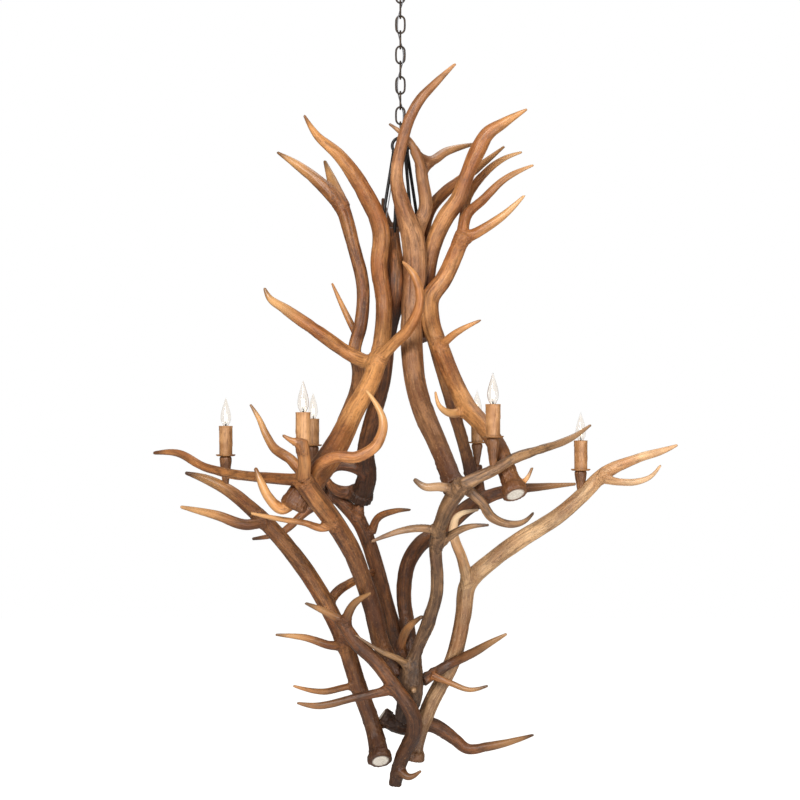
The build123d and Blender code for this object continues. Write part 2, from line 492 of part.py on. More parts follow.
# ---------------------------------------------------------------- hanger
def make_hanger():
    """A ring of two half turns of bar, with its rods run down to the antlers' middles."""
    across = Vector(1, 0, 0)
    normal = Vector(0, 1, 0)
    centre = Vector(0, 0, HANGER_RING_Z)
    body = None
    for start in (-90, 90):
        places, tangents = arc_places(centre, HANGER_RING_R, start, start + 180, 6, across)
        half = bent_wire(places, tangents, HANGER_WIRE_R, 8, normal)
        body = half if body is None else body.fuse(half)
    for angle, antler, run, row in RODS:
        turn = math.radians(angle)
        away = Vector(HANGER_RING_R * math.cos(turn), 0, HANGER_RING_R * math.sin(turn))
        end = spot(ANTLERS[antler][run][row])
        body = body.fuse(branch([centre + away, end], [ROD_R, ROD_R], 6))
    return body


# ---------------------------------------------------------------- supply cord
def cord_route():
    """From the nipple, once across each link's window in turn, to a hole in an antler."""
    top = Vector(0, 0, NIPPLE_ABOVE - 2)
    below_collar = Vector(0, 0, COLLAR_Z - COLLAR_HEIGHT - CORD_BELOW_COLLAR)
    first_turn = Vector(0, 0, LOOP_Z) + Vector(*CORD_FIRST_TURN)
    corners = [top, below_collar, first_turn]
    quarter = ((-1, 1), (1, 1), (1, -1), (-1, -1))
    for k in range(1, LINK_COUNT + 1):
        x, y = quarter[k % 4]
        z = FIRST_LINK_Z - (k - 1) * LINK_PITCH + CORD_TURN_LIFT
        corners.append(Vector(x * CORD_OUT, y * CORD_OUT, z))
    antler, run, row = CORD_END
    hole = spot(ANTLERS[antler][run][row])
    hole += Vector(CORD_BESIDE_ROD[0], CORD_BESIDE_ROD[1], 0)
    last = corners[-1]
    corners.append(last + (hole - last) * 0.33 + Vector(2, 0, 0))
    corners.append(last + (hole - last) * 0.67 + Vector(1, -2, 0))
    corners.append(hole)
    radii = []
    for a, b, c in zip(corners, corners[1:], corners[2:]):
        turn = math.radians((b - a).get_angle(c - b))
        radii.append(0.45 * min((b - a).length, (c - b).length) / math.tan(turn / 2))
    return corners, radii


def make_cord(corners, radii):
    """A tube along straight runs and tangent arcs, a polygon at both ends of each."""
    route = FilletPolyline(*corners, radius=radii)
    places = []
    tangents = []
    for edge in route.edges():
        places.append(edge.position_at(0))
        tangents.append(edge.tangent_at(0))
    places.append(route.edges()[-1].position_at(1))
    tangents.append(route.edges()[-1].tangent_at(1))
    side = Vector(1, 0, 0)
    rings = []
    for place, along in zip(places, tangents):
        side = (side - along * side.dot(along)).normalized()
        rings.append(polygon_at(place, side, along, CORD_R, CORD_SIDES, 0))
    return skin(rings), route


# ---------------------------------------------------------------- screws
def make_screw(near, radius, far):
    """A headed screw, sunk below the first antler's skin and ending inside the second."""
    start = spot(near)
    stop = spot(far)
    along = (stop - start).normalized()
    top = start - along * (radius * CM * 0.92 - SCREW_SUNK)
    shank = branch([top + along * SCREW_HEAD_HEIGHT, stop], [SCREW_R, SCREW_R], SCREW_SIDES)
    head = branch([top, top + along * SCREW_HEAD_HEIGHT], [SCREW_HEAD_R] * 2, SCREW_SIDES)
    outside = top - along * (SCREW_SUNK * 4)
    bore = branch([outside, top], [SCREW_HEAD_R] * 2, SCREW_SIDES)
    return head.fuse(shank), bore


# ---------------------------------------------------------------- antlers
def make_antler(runs, with_burr):
    beam = runs[0]
    places = [spot(row) for row in beam]
    radii = [row[3] * CM for row in beam]
    if with_burr:
        along = (places[1] - places[0]).normalized()
        flare = [places[0] + along * BURR_HEIGHT * 0.35, places[0] + along * BURR_HEIGHT]
        places = places[:1] + flare + places[1:]
        radii = [radii[0] * 0.86, radii[0] * BURR_FLARE, radii[0]] + radii[1:]
        if (places[3] - places[2]).length < BURR_HEIGHT:
            places.pop(3)
            radii.pop(3)
    solid = branch(places, radii, BEAM_SIDES)
    for run in runs[1:]:
        tine_places = [spot(row) for row in run]
        solid = solid.fuse(branch(tine_places, [row[3] * CM for row in run], TINE_SIDES))
    return solid


# ---------------------------------------------------------------- candles
def candle_place(antler, run, row, rise):
    return spot(ANTLERS[antler][run][row]) + Vector(0, 0, rise)


def make_cup(place, rise):
    """Grooved stock with a shoulder under the ring, tapering down to the tine."""
    return turned([
        (CUP_FOOT_R, -rise + 4),
        (CUP_WAIST_R, -rise * 0.55),
        (CUP_TOP_R, -rise * 0.2),
        (CUP_TOP_R * 0.9, 0),
    ], CUP_SIDES, place, CUP_FLUTE)


def make_drip_ring(place):
    outer = turned([
        (RING_R * 0.78, 0),
        (RING_R, RING_LIP),
    ], 12, place)
    inner = turned([
        (SLEEVE_R + 0.3, RING_THICK),
        (RING_R - RING_THICK, RING_LIP),
    ], 12, place)
    hole = turned([(STUD_R, -1), (STUD_R, RING_LIP)], 8, place)
    return outer.cut(inner, hole)


def make_sleeve(place):
    base = place + Vector(0, 0, RING_THICK)
    outer = turned([
        (SLEEVE_R, 0),
        (SLEEVE_R * 0.98, SLEEVE_HEIGHT),
    ], SLEEVE_SIDES, base)
    inner = turned([
        (SLEEVE_R - SLEEVE_WALL, 0),
        (SLEEVE_R - SLEEVE_WALL, SLEEVE_HEIGHT),
    ], SLEEVE_SIDES, base)
    return outer.cut(inner)


def make_socket(place):
    top = SOCKET_TOP
    outer = turned([(SOCKET_R, top - SOCKET_HEIGHT), (SOCKET_R, top)], 8, place)
    inner = turned([
        (BULB_BASE_R + TURN_GAP, top - BULB_BASE_HEIGHT - TURN_GAP),
        (BULB_BASE_R + TURN_GAP, top),
    ], 12, place)
    return outer.cut(inner)


def make_stem(place, rise):
    """Threaded stud: up through cup and ring to the socket, down into the antler."""
    low = -rise - STUD_BITE / 2
    return turned([(STUD_R, low), (STUD_R, SOCKET_TOP - SOCKET_HEIGHT)], 8, place)


def make_bulb_base(place):
    top = SOCKET_TOP
    low = top - BULB_BASE_HEIGHT
    return turned([
        (BULB_BASE_R * 0.45, low),
        (BULB_BASE_R * 0.9, low + 3),
        (BULB_BASE_R, low + 4),
        (BULB_BASE_R, top + 2),
    ], 8, place)


def make_bulb_glass(place):
    """Flame-tip envelope, standing on the screw base."""
    low = SOCKET_TOP + 2
    rows = ((BULB_NECK_R, 0.0), (0.72 * BULB_R, 0.12), (BULB_R, 0.3), (0.93 * BULB_R, 0.48),
            (0.6 * BULB_R, 0.72), (0.05 * BULB_R, 1.0))
    return turned([(r, low + BULB_HEIGHT * share) for r, share in rows], 10, place)


# ---------------------------------------------------------------- build
def largest(shape):
    """The main solid of a cut, without crumbs that a cope leaves beyond the other antler."""
    return max(shape.solids(), key=lambda solid: solid.volume)


def boxes_meet(a, b):
    a = a.bounding_box()
    b = b.bounding_box()
    level = a.min.X < b.max.X and b.min.X < a.max.X and a.min.Y < b.max.Y and b.min.Y < a.max.Y
    return level and a.min.Z < b.max.Z and b.min.Z < a.max.Z


os.makedirs("parts", exist_ok=True)
parts = {}

# Ceiling fitting, chain and hanger
parts["canopy"] = make_canopy()
parts["mounting_strap"] = make_strap()
parts["nipple"] = make_nipple()
parts["lock_nuts"] = make_lock_nuts()
parts["collar_loop"] = make_collar()
for k in range(LINK_COUNT):
    ways = (Vector(0, 1, 0), Vector(1, 0, 0)) if k % 2 == 0 else (Vector(1, 0, 0), Vector(0, 1, 0))
    parts[f"chain_link_{k + 1:02}"] = make_link(FIRST_LINK_Z - k * LINK_PITCH, *ways)
parts["hanger"] = make_hanger()

corners, radii = cord_route()
parts["supply_cord"], route = make_cord(corners, radii)
print("cord", round(route.length), "mm, radii", [round(radius) for radius in radii])

# Antlers, each coped to the earlier ones that it leans on
antlers = {}
for name, runs in ANTLERS.items():
    antler = make_antler(runs, name in WITH_BURR)
    for other in antlers.values():
        if boxes_meet(antler, other):
            antler = largest(antler.cut(other))
    antlers[name] = antler

# Candles, and the bores that their studs, the screws, the rods and the cord need
cups, rings, sleeves, sockets, stems = [], [], [], [], []
for name, (antler, run, row, rise) in CANDLES.items():
    place = candle_place(antler, run, row, rise)
    stem = make_stem(place, rise)
    cup = make_cup(place, rise)
    for other in antlers.values():
        if boxes_meet(cup, other):
            cup = largest(cup.cut(other))
    cups.append(largest(cup.cut(stem)))
    antlers[antler] = antlers[antler].cut(stem)
    rings.append(make_drip_ring(place))
    sleeves.append(make_sleeve(place))
    sockets.append(make_socket(place))
    stems.append(stem)
    parts[f"bulb_base_{name}"] = make_bulb_base(place)
    parts[f"bulb_glass_{name}"] = make_bulb_glass(place)

screws = [make_screw(*screw) for screw in SCREWS]
cord_hole = branch([corners[-2], corners[-1]], [CORD_R + CORD_HOLE_GAP] * 2, CORD_SIDES)
cutters = [parts["hanger"], cord_hole]
cutters += [tool for pair in screws for tool in pair]
for name, antler in antlers.items():
    tools = [tool for tool in cutters if boxes_meet(tool, antler)]
    parts[name] = largest(antler.cut(*tools)) if tools else antler
parts["antler_screws"] = Compound(children=[screw for screw, bore in screws])
parts["candle_cups"] = Compound(children=cups)
parts["drip_rings"] = Compound(children=rings)
parts["candle_sleeves"] = Compound(children=sleeves)
parts["lamp_sockets"] = Compound(children=sockets)
parts["candle_studs"] = Compound(children=stems)

for name, shape in parts.items():
    export_step(shape, f"parts/{name}.step")
print(len(parts), "nodes")
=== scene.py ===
# %% [markdown]
# # Antler chandelier
# Real antlers are screwed together below a chain, and six candle lamps stand on their lower tines.
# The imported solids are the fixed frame: they say where each piece is and which body it moves with.
# This lesson dresses them, piece by piece, in shapes and finishes that flat panels can't show.

import itertools
import math

import bpy
import numpy as np
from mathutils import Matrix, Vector


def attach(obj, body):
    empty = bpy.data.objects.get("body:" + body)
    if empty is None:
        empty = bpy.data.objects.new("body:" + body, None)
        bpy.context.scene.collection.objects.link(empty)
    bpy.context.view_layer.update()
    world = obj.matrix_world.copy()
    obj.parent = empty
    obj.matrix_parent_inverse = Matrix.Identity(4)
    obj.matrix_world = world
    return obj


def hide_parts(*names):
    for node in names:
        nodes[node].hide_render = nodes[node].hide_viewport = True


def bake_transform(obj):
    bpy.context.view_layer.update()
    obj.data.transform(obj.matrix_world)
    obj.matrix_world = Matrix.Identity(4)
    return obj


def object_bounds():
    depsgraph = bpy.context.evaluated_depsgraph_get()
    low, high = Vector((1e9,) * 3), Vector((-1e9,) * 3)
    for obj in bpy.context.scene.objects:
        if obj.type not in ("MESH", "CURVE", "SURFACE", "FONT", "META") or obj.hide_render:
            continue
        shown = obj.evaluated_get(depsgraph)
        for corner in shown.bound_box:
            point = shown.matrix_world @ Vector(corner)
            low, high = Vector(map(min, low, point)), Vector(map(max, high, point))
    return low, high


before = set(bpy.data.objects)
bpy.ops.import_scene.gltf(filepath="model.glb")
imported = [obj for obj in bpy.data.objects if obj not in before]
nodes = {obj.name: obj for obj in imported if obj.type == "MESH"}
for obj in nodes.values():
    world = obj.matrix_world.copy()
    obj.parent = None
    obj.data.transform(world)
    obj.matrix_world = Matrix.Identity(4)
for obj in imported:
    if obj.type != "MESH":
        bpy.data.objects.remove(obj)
cad_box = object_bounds()
MM = 0.001
print("frame box", [round(v, 3) for v in cad_box[0]], [round(v, 3) for v in cad_box[1]])

# %% [markdown]
# ## Sizes that the pieces share
# The chain and the candles stand where the solids stand, so their sizes are the solids' own.
# A few named lengths in metres are easier to change than numbers spread through the script.

# %% Shared sizes
HANG_Z = -0.55455
LOOP_Z = -0.0865
FIRST_LINK_Z = -0.12505
LINK_PITCH = 0.03925
LINK_LENGTH = 0.0497
LINK_WIDTH = 0.028
LINK_WIRE_R = 0.0025
LINK_COUNT = 11
RING_THICK = 0.0022
SLEEVE_HEIGHT = 0.077
SOCKET_TOP = 0.0752
LINKS = [f"link_{k + 1:02}" for k in range(LINK_COUNT)]
print(LINK_COUNT, "links of", LINK_LENGTH / MM, "mm")

# %% [markdown]
# ## The antlers' middle lines
# An antler is easiest to describe by the line down its middle: a beam, and tines that leave it.
# Each row is a place on that line and the radius there, in centimetres from the hanging point.
# They are the rows that the solids were built on, from the burr up, beam first. A few tips, knobs
# and burrs are brought closer to the photograph. Each stays within the solids' box.

# %% Rows of the sixteen antlers
ANTLERS = {
    "antler_lower_left": [
        [(-5.1, 3.5, -156.6, 2.7), (-6.6, 3.5, -150.6, 2.2), (-10.8, 2.5, -138.2, 2.1),
         (-14.9, 2.5, -125.9, 2.2), (-19.7, 3.5, -116.1, 2.2), (-26.8, 4.5, -105.3, 2.2),
         (-37.3, 4.5, -93.5, 2.0), (-45.6, 3.5, -86.6, 1.6), (-51.0, 3.5, -84.0, 1.2),
         (-56.1, 2.5, -82.4, 0.4)],
        [(-18.9, 4.5, -116.8, 1.4), (-16.8, 8.5, -114.1, 1.3), (-11.9, 15.5, -111.6, 1.1),
         (-7.6, 24.5, -110.4, 0.9)],
        [(-35.6, 3.5, -95.0, 1.4), (-39.3, 1.5, -95.9, 1.4), (-47.9, -0.5, -93.2, 1.2),
         (-56.6, -2.5, -91.0, 0.4)],
        [(-14.6, 1.5, -127.1, 1.2), (-16.9, 0.5, -127.2, 1.2), (-24.6, -1.5, -124.8, 0.9),
         (-32.2, -2.5, -123.9, 0.3)],
        [(-10.5, 2.5, -138.4, 1.0), (-12.8, 1.5, -138.0, 0.9), (-20.0, -0.5, -138.9, 0.8),
         (-27.7, -1.5, -137.2, 0.3)],
    ],
    "antler_lower_front_left": [
        [(-0.9, -4.1, -133.8, 2.1), (-4.8, -5.5, -126.1, 2.2), (-7.1, -10.5, -115.8, 2.3),
         (-9.1, -14.5, -109.1, 2.2), (-12.1, -20.5, -100.6, 2.3), (-16.0, -26.5, -93.4, 2.3),
         (-20.8, -34.5, -86.1, 2.4), (-22.8, -36.5, -83.0, 2.3)],
        [(-22.8, -37.5, -82.5, 1.6), (-22.4, -41.3, -77.0, 1.4), (-23.2, -42.2, -74.5, 1.2),
         (-25.2, -42.3, -73.6, 0.7), (-27.2, -42.3, -72.4, 0.3)],
        [(-22.6, -41.6, -76.4, 1.3), (-22.5, -42.2, -73.6, 1.1)],
        [(-22.4, -36.5, -83.0, 1.5), (-28.6, -31.5, -82.9, 1.4), (-35.0, -26.5, -82.6, 1.3),
         (-43.2, -18.5, -81.8, 1.2), (-48.9, -14.5, -80.5, 1.1), (-56.5, -10.5, -77.0, 0.9),
         (-62.6, -8.5, -77.1, 0.4)],
        [(-15.7, -27.5, -93.8, 1.1), (-18.8, -28.5, -94.7, 1.0), (-22.8, -29.5, -93.5, 0.8),
         (-28.7, -30.5, -92.5, 0.7), (-35.7, -31.5, -91.0, 0.3)],
    ],
    "antler_lower_back_left": [
        [(1.2, 6.5, -139.1, 2.1), (-0.6, 12.5, -130.0, 2.3), (-3.9, 20.5, -117.8, 2.0),
         (-6.5, 26.5, -109.7, 2.1), (-8.8, 31.5, -103.1, 2.1), (-11.7, 35.5, -97.2, 2.1),
         (-17.2, 39.5, -91.2, 2.0), (-25.1, 43.5, -83.9, 1.9)],
        [(-19.0, 40.5, -90.1, 1.6), (-26.3, 39.5, -94.1, 1.3), (-33.5, 36.5, -100.1, 1.0),
         (-41.7, 33.5, -101.9, 0.4)],
        [(-8.0, 32.5, -99.9, 1.3), (-6.3, 31.5, -95.9, 1.1), (-1.5, 29.5, -93.8, 0.8),
         (2.9, 27.5, -93.4, 0.3)],
        [(-0.1, 11.5, -131.2, 1.2), (1.8, 8.5, -123.9, 1.1), (5.9, 6.5, -120.2, 0.4)],
        [(-11.9, 35.7, -96.4, 1.5), (-11.4, 36.2, -91.0, 1.4)],
    ],
    "antler_lower_front_right": [
        [(0.6, -0.9, -145.6, 2.2), (2.5, -4.0, -139.9, 3.0), (2.7, -5.5, -133.7, 3.1),
         (3.5, -6.5, -129.5, 2.0),
         (7.4, -11.5, -118.4, 1.8), (8.9, -14.5, -112.3, 1.7), (9.0, -17.5, -106.3, 1.7),
         (8.7, -21.5, -99.1, 1.7), (9.6, -25.5, -94.2, 1.8), (11.1, -30.5, -89.8, 1.9),
         (14.4, -36.5, -83.9, 2.1)],
        [(13.1, -34.5, -85.6, 1.2), (9.3, -35.5, -84.6, 1.1), (5.8, -35.5, -84.6, 0.9),
         (3.2, -34.5, -82.8, 0.5)],
        [(14.4, -36.5, -84.1, 1.6), (21.7, -36.5, -80.6, 1.4), (26.2, -35.5, -78.1, 1.3),
         (33.1, -32.5, -75.8, 1.1), (41.0, -27.5, -73.2, 0.8), (46.2, -24.5, -70.0, 0.3)],
        [(15.5, -33.5, -85.0, 1.3), (19.3, -32.5, -88.5, 1.2), (21.8, -31.5, -91.9, 1.2),
         (25.4, -30.5, -93.6, 1.0), (29.8, -28.5, -93.1, 0.6), (32.1, -27.5, -91.0, 0.3)],
        [(9.1, -24.5, -96.0, 1.0), (6.9, -25.5, -95.2, 1.0), (0.1, -27.5, -95.5, 0.8),
         (-3.5, -28.5, -96.6, 0.6), (-7.0, -29.5, -98.0, 0.3)],
        [(8.9, -21.5, -99.6, 1.1), (10.9, -22.5, -98.0, 1.1), (15.6, -25.5, -94.9, 0.8),
         (21.3, -27.5, -94.1, 0.3)],
        [(1.9, -7.5, -131.6, 1.1), (0.4, -8.5, -129.9, 0.9), (-5.1, -11.5, -126.7, 0.6),
         (-11.6, -13.5, -122.2, 0.2)],
        [(3.2, -7.0, -136.8, 0.9), (3.4, -9.4, -137.2, 0.5)],
    ],
    "antler_lower_right": [
        [(3.0, 1.5, -156.9, 2.7), (4.1, 1.5, -152.3, 2.2), (7.7, 1.5, -142.7, 2.1),
         (13.4, 1.5, -131.5, 2.1), (16.3, 1.5, -119.3, 2.1), (17.6, 2.5, -111.6, 2.3),
         (24.7, 3.5, -104.7, 2.2), (31.2, 3.5, -100.0, 2.2), (41.7, 3.5, -93.4, 2.1),
         (47.1, 3.5, -88.7, 2.0), (53.5, 2.5, -82.4, 1.8), (62.6, 0.5, -78.2, 1.2),
         (67.6, -0.5, -76.7, 0.9), (71.5, -1.5, -75.1, 0.3)],
        [(17.6, 1.5, -110.7, 1.7), (16.0, 0.5, -104.9, 1.4), (13.6, -1.5, -97.0, 1.2),
         (14.3, -2.5, -93.9, 0.9), (20.1, -4.5, -91.7, 0.3)],
        [(52.6, 1.5, -83.7, 1.3), (56.6, -1.5, -84.6, 1.0), (60.5, -2.5, -84.6, 0.9),
         (64.0, -3.5, -83.3, 0.6), (66.6, -4.5, -80.2, 0.3)],
    ],
    "antler_lower_back_right": [
        [(3.4, 10.9, -131.1, 1.9), (2.0, 13.5, -124.3, 1.9), (1.0, 18.5, -114.6, 2.0),
         (2.6, 23.5, -106.9, 2.1), (5.4, 26.5, -103.0, 2.2), (11.9, 31.5, -99.2, 2.2),
         (19.8, 37.5, -92.8, 2.3), (24.8, 40.5, -90.4, 2.0), (31.3, 39.5, -88.4, 1.6),
         (39.5, 36.5, -87.4, 1.1), (49.3, 32.5, -86.4, 0.4)],
        [(21.6, 39.5, -92.6, 1.7), (22.6, 42.5, -88.5, 1.6), (22.1, 43.5, -83.3, 1.5),
         (22.1, 43.5, -81.3, 1.4)],
    ],
    "antler_bottom_front": [
        [(-1.4, -0.5, -163.0, 1.7), (-0.4, -1.5, -158.1, 1.8), (1.2, -2.7, -153.7, 1.9),
         (3.5, -5.3, -148.3, 2.0), (3.2, -7.5, -143.8, 2.0), (-1.6, -9.5, -135.8, 1.9),
         (-6.6, -10.5, -129.1, 1.8), (-11.1, -11.5, -124.7, 1.8), (-14.7, -11.5, -119.2, 1.5)],
        [(-13.9, -11.5, -119.9, 1.3), (-11.5, -15.0, -114.5, 1.0), (-7.2, -18.5, -111.4, 0.3)],
        [(-13.9, -11.5, -119.7, 1.1), (-19.2, -11.5, -116.7, 0.9), (-23.9, -12.5, -114.6, 0.3)],
        [(-0.4, -2.5, -158.6, 1.2), (2.0, -3.5, -160.2, 0.9), (5.3, -4.5, -158.4, 0.3)],
        [(-2.6, -9.5, -136.8, 1.3), (-11.7, -10.5, -138.7, 1.0), (-21.7, -11.5, -140.5, 0.8),
         (-25.9, -12.5, -139.6, 0.3)],
    ],
    "antler_bottom_right": [
        [(5.7, -3.9, -135.6, 1.5), (12.5, -1.1, -131.8, 1.3), (18.9, -3.5, -128.2, 1.2),
         (23.4, -5.5, -125.3, 0.8), (27.1, -6.5, -123.1, 0.3)],
        [(8.1, -4.5, -134.1, 1.0), (12.6, -6.5, -135.6, 0.8), (17.9, -8.5, -137.0, 0.6),
         (22.1, -9.5, -135.8, 0.3)],
    ],
    "antler_bottom_cross": [
        [(-5.0, 5.0, -146.2, 2.2), (-0.1, 5.1, -148.9, 2.1), (8.3, 5.1, -148.6, 2.0),
         (14.1, 5.5, -152.3, 1.7), (17.4, 4.5, -154.7, 1.4), (22.6, 3.5, -154.0, 1.2),
         (29.5, 1.5, -152.0, 0.8), (34.5, -0.5, -150.0, 0.3)],
    ],
    "antler_upper_front_left": [
        [(-25.8, -31.2, -89.6, 2.6), (-24.4, -31.2, -87.4, 3.0), (-20.2, -28.0, -82.2, 3.1),
         (-15.5, -21.5, -74.9, 2.9), (-12.0, -15.5, -67.5, 2.6), (-7.4, -10.5, -58.7, 2.4),
         (-4.9, -5.5, -49.6, 2.3), (-4.2, -1.5, -38.8, 2.2), (-5.5, -2.5, -28.8, 2.2),
         (-5.0, -3.5, -20.2, 2.3), (-9.0, -5.5, -10.8, 2.2), (-15.5, -9.5, -1.9, 1.6),
         (-21.1, -12.5, 2.8, 0.95), (-24.0, -14.5, 7.2, 0.3)],
        [(-4.9, -8.5, -53.0, 1.6), (-1.4, -11.5, -49.4, 1.5), (2.1, -13.5, -46.0, 1.4),
         (4.9, -15.5, -38.2, 1.1), (3.4, -15.5, -32.8, 0.9), (0.4, -14.5, -29.2, 0.3)],
        [(-6.2, -8.5, -55.1, 1.9), (-12.1, -4.5, -52.3, 1.8), (-21.9, -8.5, -45.7, 1.6),
         (-29.0, -10.5, -40.8, 1.3), (-33.0, -11.5, -37.9, 0.8), (-34.2, -11.5, -35.4, 0.3)],
        [(-23.0, -28.5, -82.0, 1.4), (-26.4, -28.0, -78.3, 1.3), (-30.7, -25.6, -75.3, 1.1),
         (-32.6, -24.3, -72.3, 0.9), (-34.3, -23.8, -68.6, 0.65), (-36.5, -23.5, -65.0, 0.3)],
        [(-21.5, -30.5, -84.1, 1.5), (-18.9, -34.5, -79.3, 1.4), (-15.4, -35.5, -77.6, 1.4),
         (-10.2, -36.5, -77.6, 1.4), (-5.7, -36.5, -74.8, 1.3), (-4.1, -36.5, -70.8, 1.1),
         (-8.1, -34.5, -61.8, 0.3)],
        [(-25.4, -30.5, -87.9, 1.3), (-28.3, -32.5, -90.0, 1.3), (-31.4, -32.3, -87.0, 1.15),
         (-33.2, -31.9, -83.4, 0.9), (-34.5, -31.5, -80.2, 0.4)],
    ],
    "antler_upper_back_left": [
        [(-22.8, 39.6, -87.4, 2.1), (-19.6, 29.5, -78.2, 1.8), (-15.8, 18.5, -69.9, 1.8),
         (-12.3, 9.5, -62.0, 1.7), (-11.0, 2.1, -55.6, 1.7), (-11.8, -2.5, -50.6, 1.7),
         (-10.3, -1.0, -44.2, 1.7), (-9.7, 0.5, -35.0, 1.7), (-12.6, 1.5, -21.9, 1.8),
         (-15.2, 3.5, -12.8, 1.8), (-17.6, 5.5, -6.6, 1.4), (-20.0, 7.5, -0.2, 0.4)],
        [(-15.0, 3.5, -13.3, 1.8), (-22.2, 4.5, -5.6, 1.6), (-27.6, 5.0, -1.4, 1.1),
         (-32.4, 5.5, 1.7, 0.3)],
        [(-11.0, 0.5, -47.4, 1.0), (-14.4, 2.5, -40.5, 0.8), (-17.9, 4.5, -32.8, 0.3)],
    ],
    "antler_upper_back": [
        [(-11.6, 36.8, -90.4, 3.2), (-9.6, 32.5, -85.4, 2.8), (-9.5, 25.5, -75.9, 2.3),
         (-7.7, 20.5, -68.5, 2.2), (-4.9, 14.5, -59.2, 2.1), (-3.0, 6.5, -44.9, 2.1),
         (-1.2, 0.7, -35.0, 2.5), (-1.7, 2.5, -24.4, 2.0), (-2.4, 3.5, -19.0, 1.8)],
        [(-2.4, 3.5, -20.6, 1.3), (-4.0, 4.5, -14.7, 0.9), (-4.6, 5.5, -10.4, 0.4)],
        [(-2.2, 4.5, -20.5, 1.3), (-0.1, 5.5, -14.6, 0.9), (0.4, 6.5, -10.2, 0.4)],
        [(-9.3, 29.5, -83.5, 1.7), (-13.5, 29.8, -81.6, 1.5), (-18.4, 31.0, -81.7, 1.3),
         (-20.5, 31.5, -84.4, 0.7)],
        [(-11.4, 36.4, -88.8, 2.2), (-15.4, 36.2, -89.0, 1.9), (-18.6, 34.6, -87.8, 1.5),
         (-20.4, 32.4, -85.4, 0.9)],
    ],
    "antler_upper_front": [
        [(13.0, -32.8, -85.1, 2.6), (11.0, -26.5, -79.7, 2.4), (8.7, -20.5, -73.7, 2.4),
         (6.1, -14.5, -67.5, 2.6), (3.9, -9.5, -59.9, 2.6), (3.0, -5.5, -50.9, 2.8),
         (3.3, -0.5, -37.7, 3.0), (3.8, -0.5, -29.9, 3.1), (3.2, -1.5, -21.8, 3.0),
         (0.9, -4.5, -14.9, 2.2), (-0.9, -6.5, -7.8, 1.7), (0.4, -8.0, 1.4, 1.5),
         (2.4, -9.0, 7.6, 1.4), (5.0, -9.5, 12.2, 1.3), (8.8, -9.5, 16.3, 1.0),
         (14.0, -9.5, 21.3, 0.3)],
        [(4.0, -0.5, -19.6, 2.1), (6.4, -1.5, -14.3, 1.8), (5.6, -3.0, -7.0, 1.6),
         (4.6, -4.5, -2.0, 1.2), (2.2, -6.0, 2.4, 0.9), (-2.9, -7.0, 6.6, 0.3)],
        [(3.6, -5.0, -0.2, 0.8), (7.6, 0.0, -1.6, 1.3), (12.2, 4.5, 1.7, 1.1),
         (19.5, 8.5, 4.4, 0.4)],
        [(5.4, -3.2, -5.4, 1.2), (7.6, 0.0, -2.0, 1.1)],
    ],
    "antler_upper_right": [
        [(5.6, 0.5, -47.9, 1.9), (6.1, 2.5, -40.0, 2.0), (6.9, 3.0, -32.2, 2.1),
         (8.2, 2.5, -24.4, 2.2), (11.8, 1.5, -15.9, 2.3), (14.9, 0.5, -11.7, 2.2),
         (17.2, -0.5, -5.4, 1.9), (20.0, -1.5, 0.9, 2.1), (22.3, -2.5, 4.8, 1.9),
         (26.8, -3.5, 7.7, 1.3), (32.3, -5.5, 10.6, 0.3)],
    ],
    "antler_upper_right_outer": [
        [(27.0, -34.5, -86.4, 2.7), (25.7, -33.9, -82.5, 2.3), (24.0, -32.1, -77.2, 2.2),
         (20.7, -25.5, -71.0, 2.2), (16.8, -18.5, -66.2, 2.4), (13.7, -12.5, -59.9, 2.4),
         (10.8, -7.0, -52.2, 2.4), (7.8, -3.6, -43.1, 2.4), (7.8, -2.6, -37.3, 2.4),
         (11.0, -2.5, -32.7, 2.2), (14.0, -3.5, -26.4, 2.1), (16.0, -4.5, -21.4, 1.9)],
        [(15.5, -4.5, -22.7, 1.5), (21.1, -5.5, -20.0, 1.3), (26.6, -6.5, -16.3, 1.0),
         (31.6, -7.5, -11.6, 0.3)],
        [(15.8, -4.5, -22.4, 1.5), (17.3, -3.5, -15.9, 1.3), (21.2, -2.5, -12.1, 1.2),
         (26.9, -2.5, -6.7, 0.9), (34.3, -2.5, -3.1, 0.3)],
        [(15.5, -3.5, -22.6, 1.4), (16.6, 2.5, -15.8, 1.3), (17.7, 5.5, -10.1, 1.2),
         (21.7, 6.5, -4.2, 1.1), (27.6, 7.5, 0.5, 0.7), (32.1, 7.5, 2.1, 0.3)],
        [(10.0, -7.0, -50.2, 1.1), (14.0, -10.5, -46.8, 0.9), (20.2, -12.5, -43.7, 0.3)],
        [(15.9, -18.0, -66.3, 1.1), (12.0, -21.0, -67.1, 1.0), (9.5, -23.0, -65.4, 0.6),
         (8.5, -24.0, -61.9, 0.3)],
        [(26.4, -34.2, -84.4, 1.0), (29.3, -34.0, -83.2, 0.6), (31.2, -33.6, -80.0, 0.3)],
    ],
    "antler_upper_back_right": [
        [(20.9, 40.9, -86.7, 2.1), (19.2, 37.5, -80.0, 1.8), (15.2, 28.5, -67.1, 1.8),
         (9.9, 17.5, -50.2, 1.8), (7.3, 10.5, -40.7, 1.7), (5.9, 6.0, -33.1, 1.7),
         (5.7, 6.1, -24.0, 1.7), (7.8, 6.5, -13.4, 1.6), (11.8, 8.5, -8.3, 1.5),
         (20.4, 10.5, -1.6, 1.1), (27.9, 12.5, 4.6, 0.3)],
    ],
}
# These show their burr below. The others were sawn off above it.
WITH_BURR = ("antler_lower_left", "antler_lower_right", "antler_upper_front_left",
             "antler_upper_back", "antler_upper_front", "antler_upper_right_outer",
             "antler_bottom_cross")
